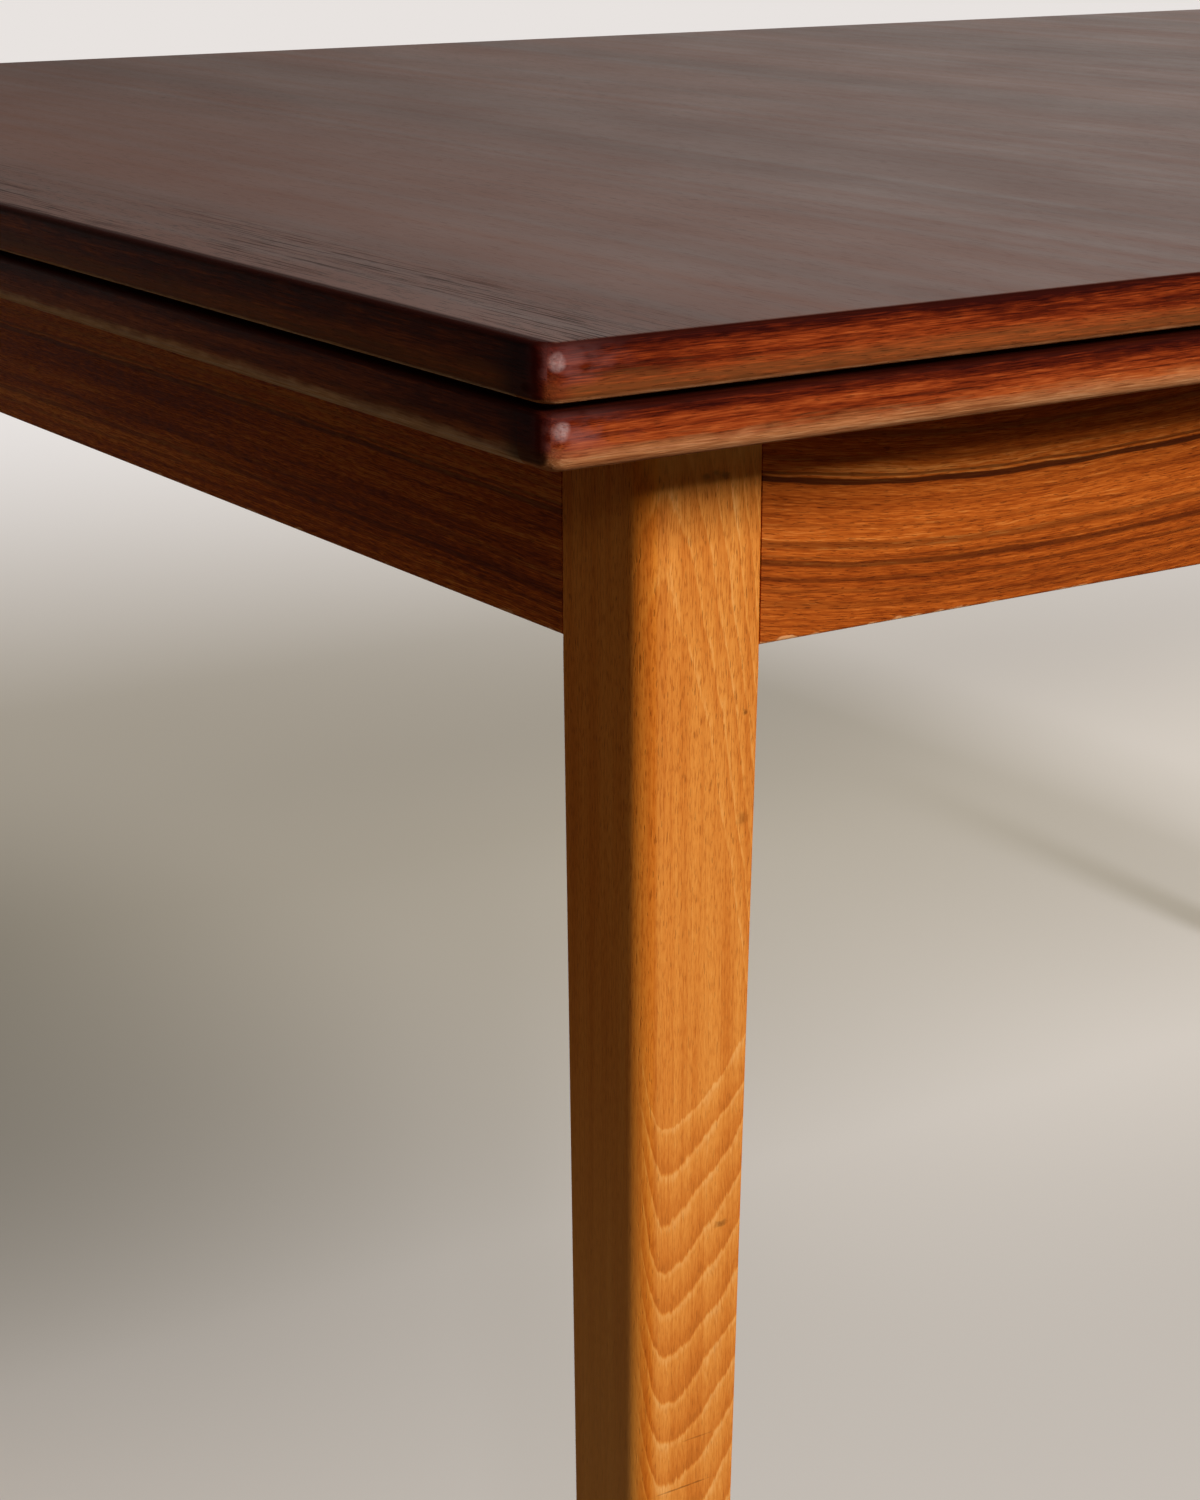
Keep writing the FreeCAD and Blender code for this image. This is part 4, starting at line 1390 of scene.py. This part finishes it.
@dataclass
class MainTop:
    """The loose upper board with its guide pegs."""

    top: float = 0.730
    under: float = 0.715
    worn: float = 0.0011
    dark: float = 0.0026
    end_rim: float = 0.0042
    side_rim: float = 0.0014
    edge_lightness: float = -0.04

    def build(self, dresser: Dresser) -> None:
        """Dress the board and its pegs.

        Args:
            dresser: Who dresses the nodes.
        """
        dresser.dress("main_top_upper_veneer", TeakTop("teak_main_top").material())
        dresser.dress("main_top_lower_veneer", BackVeneer("backing_main_top").material())
        dresser.dress("main_top_core", CoreBoard("core_main_top").material())
        for name, lengthwise in (("front", True), ("back", True), ("left", False), ("right", False)):
            base = TeakLipping(f"teak_edge_{name}", lengthwise, self.top, self.under, self.worn,
                               self.dark, self.end_rim, self.side_rim, self.edge_lightness)
            finish = base if lengthwise else replace(base, **SHADED_EDGE)
            dresser.dress(f"main_top_lipping_{name}", finish.material())
        dowel = PlainBeech("beech_guide_peg", UPWARDS).material()
        for name in ("front", "back"):
            dresser.dress(f"guide_peg_{name}", dowel)


@dataclass
class LowerBoards:
    """The fixed centre board and the two draw leaves."""

    top: float = 0.713
    under: float = 0.698
    worn: float = 0.0050
    end_worn: float = 0.0040
    dark: float = 0.0040
    bare_rim: float = 0.007
    edge_lightness: float = 0.025
    leaf_end: float = 0.674
    veneer_end: float = 0.84
    veneer_shift: Point = (0.31, 0.17, 0)

    def lipping(self, name: str, lengthwise: bool) -> bpy.types.Material:
        """The finish of one lipping at this level.

        Args:
            name: The finish's name.
            lengthwise: Whether it runs along the table.

        Returns:
            The material.
        """
        base = TeakLipping(name, lengthwise, self.top, self.under, self.worn, self.dark,
                           self.bare_rim, self.bare_rim, self.edge_lightness, self.leaf_end)
        shaded = replace(base, worn_height=self.end_worn, **SHADED_EDGE)
        return (base if lengthwise else shaded).material()

    def build(self, dresser: Dresser) -> None:
        """Dress the boards, their bearers and their stop pegs.

        Args:
            dresser: Who dresses the nodes.
        """
        moved = replace(ALONG_WIDTH, shift=self.veneer_shift)
        veneer = TeakTop("teak_leaf_top", moved, self.veneer_end).material()
        back = BackVeneer("backing_leaf").material()
        core = CoreBoard("core_leaf").material()
        long_edge = self.lipping("teak_leaf_edge_long", True)
        end_edge = self.lipping("teak_leaf_edge_end", False)
        bearer = PlainBeech("beech_bearer", ALONG_LENGTH).material()
        peg = PlainBeech("beech_stop_peg", ALONG_WIDTH).material()
        for board in ("centre_board", "leaf_left", "leaf_right"):
            dresser.dress(f"{board}_upper_veneer", veneer)
            dresser.dress(f"{board}_lower_veneer", back)
            dresser.dress(f"{board}_core", core)
            for side in ("front", "back"):
                dresser.dress(f"{board}_lipping_{side}", long_edge)
        for leaf in ("leaf_left", "leaf_right"):
            dresser.dress(f"{leaf}_lipping_end", end_edge)
            dresser.dress(f"{leaf}_lipping_inner", end_edge)
            for side in ("front", "back"):
                dresser.dress(f"{leaf}_bearer_{side}", bearer)
            dresser.dress(f"{leaf}_stop_pegs", peg)


@dataclass
class UnderFrame:
    """Legs, aprons, cross rails and corner blocks."""

    half_length: float = 0.610
    half_width: float = 0.397
    apron_under: float = 0.6287
    seen_marks: tuple[Mark, ...] = (
        Mark(0.0207, 0.6788, 0.0021, 0.0013, 0.45), Mark(0.0245, 0.6794, 0.0017, 0.0011, 0.40),
        Mark(0.0278, 0.6785, 0.0021, 0.0013, 0.55), Mark(0.0240, 0.6785, 0.0065, 0.0026, 0.30),
        Mark(0.0347, 0.5787, 0.0028, 0.0030, 0.30), Mark(0.0352, 0.6100, 0.0012, 0.0012, 0.60),
        Mark(0.0291, 0.4540, 0.0030, 0.0014, 0.50), Mark(0.0213, 0.3856, 0.0070, 0.0004, 0.35),
        Mark(0.0165, 0.3702, 0.0120, 0.0004, 0.50))
    front_right_marks: tuple[Mark, ...] = (Mark(0.012, 0.33, 0.003, 0.004, 0.4),)
    back_right_marks: tuple[Mark, ...] = (Mark(0.02, 0.52, 0.003, 0.003, 0.4),)

    def aprons(self) -> tuple[TeakApron, ...]:
        """The four aprons' finishes, each with its growth lines lying its own way."""
        under, ends = self.apron_under, ACROSS_RAILS
        return (
            TeakApron("apron_front", ALONG_LENGTH, under, valley=-0.475),
            TeakApron("apron_back", ALONG_LENGTH, under, valley=0.31, way=-1.0, lift=0.011),
            TeakApron("apron_end_left", ends, under, valley=0.12, way=-1.0, lift=0.004,
                      contrast=0.6, liveliness=1.7, sagging=0.12),
            TeakApron("apron_end_right", ends, under, valley=-0.20, lift=0.006))

    def legs(self) -> list[BeechLeg]:
        """The four legs' finishes, each with arches and marks of its own."""
        legs = (
            ("front_left", -1, -1, False, 0.0068, 0.4898, 0.6560, self.seen_marks),
            ("front_right", 1, -1, True, 0.0150, 0.4310, 0.6120, self.front_right_marks),
            ("back_left", -1, 1, True, 0.0210, 0.5250, 0.6700, ()),
            ("back_right", 1, 1, False, 0.0110, 0.4050, 0.6350, self.back_right_marks))
        return [BeechLeg(f"beech_leg_{name}", (x * self.half_length, y * self.half_width), (-x, -y),
                         *arches_and_marks) for name, x, y, *arches_and_marks in legs]

    def build(self, dresser: Dresser) -> None:
        """Dress every wooden piece of the frame.

        Args:
            dresser: Who dresses the nodes.
        """
        for finish in self.aprons():
            dresser.dress(finish.name, finish.material())
        for finish in self.legs():
            dresser.dress(finish.name.removeprefix("beech_"), finish.material())
        rail = PlainBeech("beech_rail", ACROSS_RAILS).material()
        block = PlainBeech("beech_block", ALONG_LENGTH).material()
        for side in ("left", "right"):
            dresser.dress(f"cross_rail_{side}", rail)
            for way in ("front", "back"):
                dresser.dress(f"corner_block_{way}_{side}", block)


@dataclass
class Screws:
    """Slotted steel screws of the centre board, the bearers and the guide pegs."""

    head_radius: float = 0.0039
    head_height: float = 0.0026
    shank_radius: float = 0.0019
    slot_width: float = 0.0009
    slot_depth: float = 0.0013
    seat_length: float = 0.020
    thread_turns: int = 10
    thread_root: float = 0.72
    thread_rise: float = 0.0009
    point: float = 0.001
    clearance: float = 0.001
    facets: int = 24
    centre_level: float = 0.710
    centre_along: tuple[float, ...] = (-0.130, 0.130)
    centre_across: tuple[float, ...] = (-0.322, 0.0, 0.322)
    bearer_level: float = 0.686
    bearer_first: float = 0.214
    bearer_span: float = 0.356
    bearer_screws: int = 4
    right_bearers: tuple[float, ...] = (-0.232, 0.232)
    left_bearers: tuple[float, ...] = (-0.192, 0.192)
    peg_level: float = 0.653
    pegs_across: tuple[float, ...] = (-0.112, 0.112)

    def blade(self) -> bpy.types.Object:
        """The cutter of the screw's slot.

        Returns:
            A block at the head's top, a little higher than the slot.
        """
        size = (self.head_radius * 2.4, self.slot_width, self.slot_depth + self.clearance, 1)
        middle = self.head_height - self.slot_depth / 2 + self.clearance / 2
        form = bmesh.new()
        bmesh.ops.create_cube(form, size=1.0,
                              matrix=Matrix.Translation((0, 0, middle)) @ Matrix.Diagonal(size))
        return finish_mesh("slot_pattern", form)

    def pattern(self) -> bpy.types.Object:
        """One screw, head up.

        Returns:
            The screw with its seat at the origin.
        """
        r, h = self.head_radius, self.head_height
        dome = [(r * math.cos(a), h * 0.35 + h * 0.65 * math.sin(a))
                for a in (math.radians(d) for d in (0, 20, 40, 58, 74))]
        thread = []
        for turn in range(self.thread_turns, 0, -1):
            level = -self.seat_length * turn / self.thread_turns
            thread += [(self.shank_radius * self.thread_root, level),
                       (self.shank_radius, level + self.thread_rise)]
        profile = [(0.0, -self.seat_length - self.point), *thread, (self.shank_radius, 0.0), (r, 0.0),
                   *dome, (0.0, h)]
        screw, blade = lathe("screw_pattern", profile, self.facets), self.blade()
        cut = screw.modifiers.new("slot", "BOOLEAN")
        cut.operation = "DIFFERENCE"
        cut.solver = "EXACT"
        cut.object = blade
        graph = bpy.context.evaluated_depsgraph_get()
        screw.data = bpy.data.meshes.new_from_object(screw.evaluated_get(graph))
        screw.modifiers.clear()
        put_away(blade)
        return screw

    def build(self, dresser: Dresser, scatter: Scatter, steel: bpy.types.Material) -> None:
        """Set the screws of each body in place.

        Args:
            dresser: Who reports the pieces.
            scatter: Who sets the copies.
            steel: Their finish.
        """
        pattern = self.pattern()
        gaps = self.bearer_screws - 1
        rows = [self.bearer_first + self.bearer_span * step / gaps for step in range(self.bearer_screws)]
        groups = (
            ("frame", "centre_board_screws",
             spots_at(self.centre_along, self.centre_across, self.centre_level)),
            ("leaf_right", "leaf_right_bearer_screws",
             spots_at(rows, self.right_bearers, self.bearer_level, UPSIDE_DOWN)),
            ("leaf_left", "leaf_left_bearer_screws",
             spots_at([-x for x in rows], self.left_bearers, self.bearer_level, UPSIDE_DOWN)),
            ("main_top", "guide_peg_screws",
             spots_at((0.0,), self.pegs_across, self.peg_level, UPSIDE_DOWN)))
        for body, node, spots in groups:
            piece = scatter.piece(f"slotted_{node}", pattern, spots, steel, 2 * math.pi)
            dresser.report(piece, body, Slot.STEEL, node)
        put_away(pattern)


@dataclass
class CornerHardware:
    """Hanger bolts, washers and nuts that pull the legs into the corner blocks."""

    half_length: float = 0.610
    half_width: float = 0.397
    level: float = 0.6632
    leg_reach: float = 0.0566
    bite: float = 0.024
    block_face: float = 0.0905
    tail: float = 0.012
    bolt_radius: float = 0.0039
    play: float = 0.0001
    washer_radius: float = 0.0089
    washer_height: float = 0.0016
    washer_bevel: float = 0.0004
    nut_radius: float = 0.0073
    nut_height: float = 0.0064
    nut_bevel: float = 0.0007
    nut_sides: int = 6
    pitch: float = 0.00125
    thread_root: float = 0.86
    end_chamfer: float = 0.8
    bolt_facets: int = 20
    ring_facets: int = 24

    def spots(self, distance: float) -> list[Spot]:
        """The places of one fitting at the four corners.

        Args:
            distance: How far it lies from the leg's outer corner, on the diagonal.

        Returns:
            The places, each leaning inwards.
        """
        share = distance * math.sqrt(0.5)
        found = []
        for x, y in ((-1, -1), (1, -1), (1, 1), (-1, 1)):
            inwards = Matrix.Rotation(math.atan2(-y, -x), 3, "Z") @ Matrix.Rotation(math.pi / 2, 3, "Y")
            place = (x * (self.half_length - share), y * (self.half_width - share), self.level)
            found.append((place, tuple(inwards.to_euler())))
        return found

    def bolt(self) -> bpy.types.Object:
        """A threaded bolt.

        Returns:
            The bolt, which stands on the origin.
        """
        length = self.block_face + self.washer_height + self.tail - self.leg_reach + self.bite
        ribs = int(length / self.pitch)
        profile = [(0.0, 0.0)]
        for rib in range(ribs):
            level = length * rib / ribs
            profile += [(self.bolt_radius * self.thread_root, level),
                        (self.bolt_radius, level + self.pitch * 0.5)]
        profile += [(self.bolt_radius * self.end_chamfer, length), (0.0, length)]
        return lathe("bolt_pattern", profile, self.bolt_facets)

    def ring(self, name: str, radius: float, height: float, bevel: float, sides: int) -> bpy.types.Object:
        """A washer or a nut with a hole, bevelled on its outer edges.

        Args:
            name: The object's name.
            radius: Its outer radius.
            height: Its height.
            bevel: The bevel's width.
            sides: Its flat sides, or 0 for a round one.

        Returns:
            The ring, which stands on the origin.
        """
        hole = self.bolt_radius + self.play
        profile = [(hole, 0.0), (radius - bevel, 0.0), (radius, bevel), (radius, height - bevel),
                   (radius - bevel, height), (hole, height)]
        return lathe(name, profile, self.ring_facets, hole, sides)

    def build(self, dresser: Dresser, scatter: Scatter, steel: bpy.types.Material) -> None:
        """Set bolts, washers and nuts at the four corners.

        Args:
            dresser: Who reports the pieces.
            scatter: Who sets the copies.
            steel: Their finish.
        """
        washer = self.ring("washer_pattern", self.washer_radius, self.washer_height, self.washer_bevel, 0)
        nut = self.ring("nut_pattern", self.nut_radius, self.nut_height, self.nut_bevel, self.nut_sides)
        fittings = (
            ("threaded_leg_bolts", self.bolt(), self.leg_reach - self.bite, "leg_bolts"),
            ("pressed_leg_washers", washer, self.block_face, "leg_bolt_washers"),
            ("hexagon_leg_nuts", nut, self.block_face + self.washer_height, "leg_bolt_nuts"))
        for name, pattern, distance, node in fittings:
            piece = scatter.piece(name, pattern, self.spots(distance), steel)
            dresser.report(piece, "frame", Slot.STEEL, node)
            put_away(pattern)


@dataclass
class FootGlides:
    """Domed plastic glides under the legs."""

    radius: float = 0.0098
    thickness: float = 0.003
    half_length: float = 0.5965
    half_width: float = 0.3835
    facets: int = 32

    def build(self, dresser: Dresser, scatter: Scatter) -> None:
        """Set a glide under each leg.

        Args:
            dresser: Who reports the piece.
            scatter: Who sets the copies.
        """
        r, h = self.radius, self.thickness
        profile = [(0.0, 0.0), (r * 0.80, 0.0), (r * 0.93, h * 0.12), (r, h * 0.42), (r, h * 0.9),
                   (r * 0.97, h), (0.0, h)]
        pattern = lathe("glide_pattern", profile, self.facets)
        spots = spots_at((-self.half_length, self.half_length), (-self.half_width, self.half_width), 0.0)
        piece = scatter.piece("domed_foot_glides", pattern, spots, GlidePlastic("glide_dark").material())
        dresser.report(piece, "frame", Slot.GLIDE, "foot_glides")
        put_away(pattern)


@dataclass
class FeltPads:
    """Soft pads between the centre board and the main top."""

    radius: float = 0.0119
    thickness: float = 0.00194
    level: float = 0.713
    offset_x: float = 0.110
    offset_y: float = 0.340
    greatest_turn: float = 1.5
    facets: int = 36

    def build(self, dresser: Dresser, scatter: Scatter) -> None:
        """Set the four pads.

        Args:
            dresser: Who reports the piece.
            scatter: Who sets the copies.
        """
        r, h = self.radius, self.thickness
        profile = [(0.0, 0.0), (r * 0.97, 0.0), (r, h * 0.3), (r, h * 0.7), (r * 0.97, h), (0.0, h)]
        pattern = lathe("pad_pattern", profile, self.facets)
        spots = spots_at((-self.offset_x, self.offset_x), (-self.offset_y, self.offset_y), self.level)
        piece = scatter.piece("soft_felt_pads", pattern, spots, GreenFelt("felt_green").material(),
                              self.greatest_turn)
        dresser.report(piece, "felt_pads", Slot.FELT, "top_felt_pads")
        put_away(pattern)


# The studio


@dataclass(frozen=True)
class Lamp:
    """A soft rectangular lamp; level 1 shows a colour that faces it as it is written."""

    name: str
    place: Point
    aim: Point
    width: float
    height: float
    level: float
    colour: Colour = WHITE
    glossy: bool = True

    def light(self) -> None:
        """Hang the lamp."""
        data = bpy.data.lights.new(self.name, "AREA")
        data.shape = "RECTANGLE"
        data.size, data.size_y = self.width, self.height
        way = Vector(self.aim) - Vector(self.place)
        data.energy = self.level * math.pi ** 2 * way.length_squared
        data.color = self.colour
        holder = hang(self.name, data)
        holder.location = self.place
        holder.rotation_euler = way.to_track_quat("-Z", "Y").to_euler()
        holder.visible_glossy = self.glossy


@dataclass
class Studio:
    """Floor, backdrop colour, lamps and the camera."""

    floor_radius: float = 14.0
    floor_facets: int = 96
    floor_dark: Colour = paint(207, 203, 206)
    floor_pale: Colour = paint(213, 210, 215)
    floor_cloud: float = 0.7
    # painted light: the floor glows for what looks at it, which lifts its shadows
    floor_glow: Colour = (0.156, 0.141, 0.094)
    bounce_colour: Colour = paint(70, 58, 44)
    # painted pool of light on the floor behind the table
    painted_light_gain: float = 0.28
    bright_along: Span = (-0.25, 0.45)
    bright_from: Span = (0.0, 0.50)
    bright_until: Span = (0.85, 1.35)
    # painted shade on the floor at the table's left
    painted_shade_loss: float = 0.42
    dim_along: Span = (-0.45, 0.08)
    dim_from: Span = (0.0, 0.75)
    dim_until: Span = (1.1, 1.6)
    far_colour: Colour = paint(232, 227, 224)
    left_colour: Colour = (0.30, 0.28, 0.25)
    right_colour: Colour = (1.0, 0.95, 0.88)
    high_colour: Colour = (0.20, 0.19, 0.175)
    fade_centre: tuple[float, float] = (-0.35, -0.10)
    fade: Span = (1.7, 3.6)
    side_turn: Span = (0.33, 0.74)
    wall_foot: Span = (0.0, 0.07)
    wall_head: Span = (0.12, 0.55)
    ambient_colour: Colour = (1.0, 0.76, 0.50)
    ambient: float = 0.12
    camera_place: Point = (-1.0521, -1.0368, 0.8464)
    camera_bearing: float = 33.80
    camera_dip: float = 17.25
    lens: float = 71.24
    sensor: float = 36.0
    lamps: tuple[Lamp, ...] = (
        Lamp("key_window", (0.27, -3.9, 2.72), (-0.45, -0.40, 0.62), 0.55, 1.1, 1.0, (1.0, 0.985, 0.96)),
        Lamp("corner_glint", (-2.15, -3.1, 1.95), (-0.65, -0.45, 0.70), 0.16, 0.40, 0.07),
        Lamp("back_fill", (1.9, 3.2, 2.2), (0.0, 0.0, 0.5), 2.0, 1.4, 0.22, (0.97, 0.98, 1.0), False),
    )

    def paper(self, shader: Shader, x: Value, y: Value, seen: Value) -> Value:
        """The floor's paper, with a painted pool of light behind the table and painted shade at its left.

        Args:
            shader: The floor's material.
            x: The place along the table.
            y: The place across it.
            seen: 1 for what is looked at.

        Returns:
            The surface's output.
        """
        cloud = shader.noise((x, y, 0.0), (self.floor_cloud, self.floor_cloud, 1))
        tone = shader.mix(cloud, self.floor_dark, self.floor_pale)
        # painted light behind the table and painted shade at its left, which change the floor's level
        bright = (x.step(*self.bright_along) * y.step(*self.bright_from)
                  * (1 - y.step(*self.bright_until)) * self.painted_light_gain)
        dim = ((1 - x.step(*self.dim_along)) * (1 - y.step(*self.dim_until))
               * y.step(*self.dim_from) * self.painted_shade_loss)
        level = 1 + bright - dim
        tone = shader.mix(seen, self.bounce_colour, shader.scaled(tone, level))
        # painted light: a glow seen only by what looks at the floor, scaled with the painted pool and
        # shade
        glow = shader.mix(seen, BLACK, shader.scaled(self.floor_glow, level))
        return shader.node("ShaderNodeBsdfPrincipled", values={
            "Base Color": tone, "Roughness": 1.0, "Specular IOR Level": 0.0,
            "Emission Color": glow, "Emission Strength": 1.0})

    def floor(self) -> None:
        """A pale floor that fades into the backdrop."""
        form = bmesh.new()
        bmesh.ops.create_circle(form, cap_ends=True, cap_tris=False, segments=self.floor_facets,
                                radius=self.floor_radius)
        floor = finish_mesh("studio_floor", form)
        shader = Shader("studio_paper")
        x, y, _ = shader.split(shader.place())
        reach = shader.length(x - self.fade_centre[0], y - self.fade_centre[1], 0.0)
        seen = shader.seen()
        paper = self.paper(shader, x, y, seen)
        far = shader.node("ShaderNodeEmission", values={"Color": self.far_colour, "Strength": 1.0})
        floor.data.materials.append(shader.close(shader.node("ShaderNodeMixShader", values={
            0: reach.step(*self.fade) * seen, 1: paper, 2: far})))

    def world(self) -> None:
        """Dim all-round light, with a pale backdrop for what looks straight at it."""
        shader = Shader("studio_air", bpy.data.worlds)
        x, _, z = shader.split(shader.node("ShaderNodeTexCoord", out="Generated"))
        band = shader.mix(x.step(*self.side_turn), self.left_colour, self.right_colour)
        wall = shader.mix(z.step(*self.wall_foot), self.far_colour, band)
        wall = shader.mix(z.step(*self.wall_head), wall, self.high_colour)
        soft = shader.node("ShaderNodeBackground", values={
            "Color": self.ambient_colour, "Strength": self.ambient})
        pale = shader.node("ShaderNodeBackground", values={"Color": wall, "Strength": 1.0})
        both = shader.node("ShaderNodeMixShader", values={0: shader.seen(), 1: soft, 2: pale})
        shader.node("ShaderNodeOutputWorld", values={"Surface": both})
        bpy.context.scene.world = shader.owner

    def camera(self) -> None:
        """The camera at the photograph's view."""
        data = bpy.data.cameras.new("photo_camera")
        data.sensor_width = self.sensor
        data.lens = self.lens
        data.clip_start = 0.05
        data.clip_end = 60.0
        holder = hang("photo_camera", data)
        holder.location = self.camera_place
        holder.rotation_euler = (
            math.radians(90 - self.camera_dip), 0.0, math.radians(-self.camera_bearing))
        bpy.context.scene.camera = holder

    def build(self) -> None:
        """Set up the studio."""
        self.floor()
        self.world()
        self.camera()
        for lamp in self.lamps:
            lamp.light()
        bpy.context.scene.view_settings.view_transform = "Standard"


def main() -> None:
    """Build every part of the table in order."""
    logging.basicConfig(level=logging.INFO, format="%(message)s")
    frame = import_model()
    dresser = Dresser(frame["nodes"])
    scatter = Scatter(scatter_tree("set_on_spots"))
    steel = ZincSteel("zinc_plated").material()
    MainTop().build(dresser)
    LowerBoards().build(dresser)
    UnderFrame().build(dresser)
    Screws().build(dresser, scatter, steel)
    CornerHardware().build(dresser, scatter, steel)
    dresser.dress("guide_peg_washers", steel)
    FootGlides().build(dresser, scatter)
    FeltPads().build(dresser, scatter)
    left = set(frame["nodes"]) - dresser.done
    if left:
        raise RuntimeError(f"undressed nodes: {sorted(left)}")
    Studio().build()


if __name__ == "__main__":
    main()
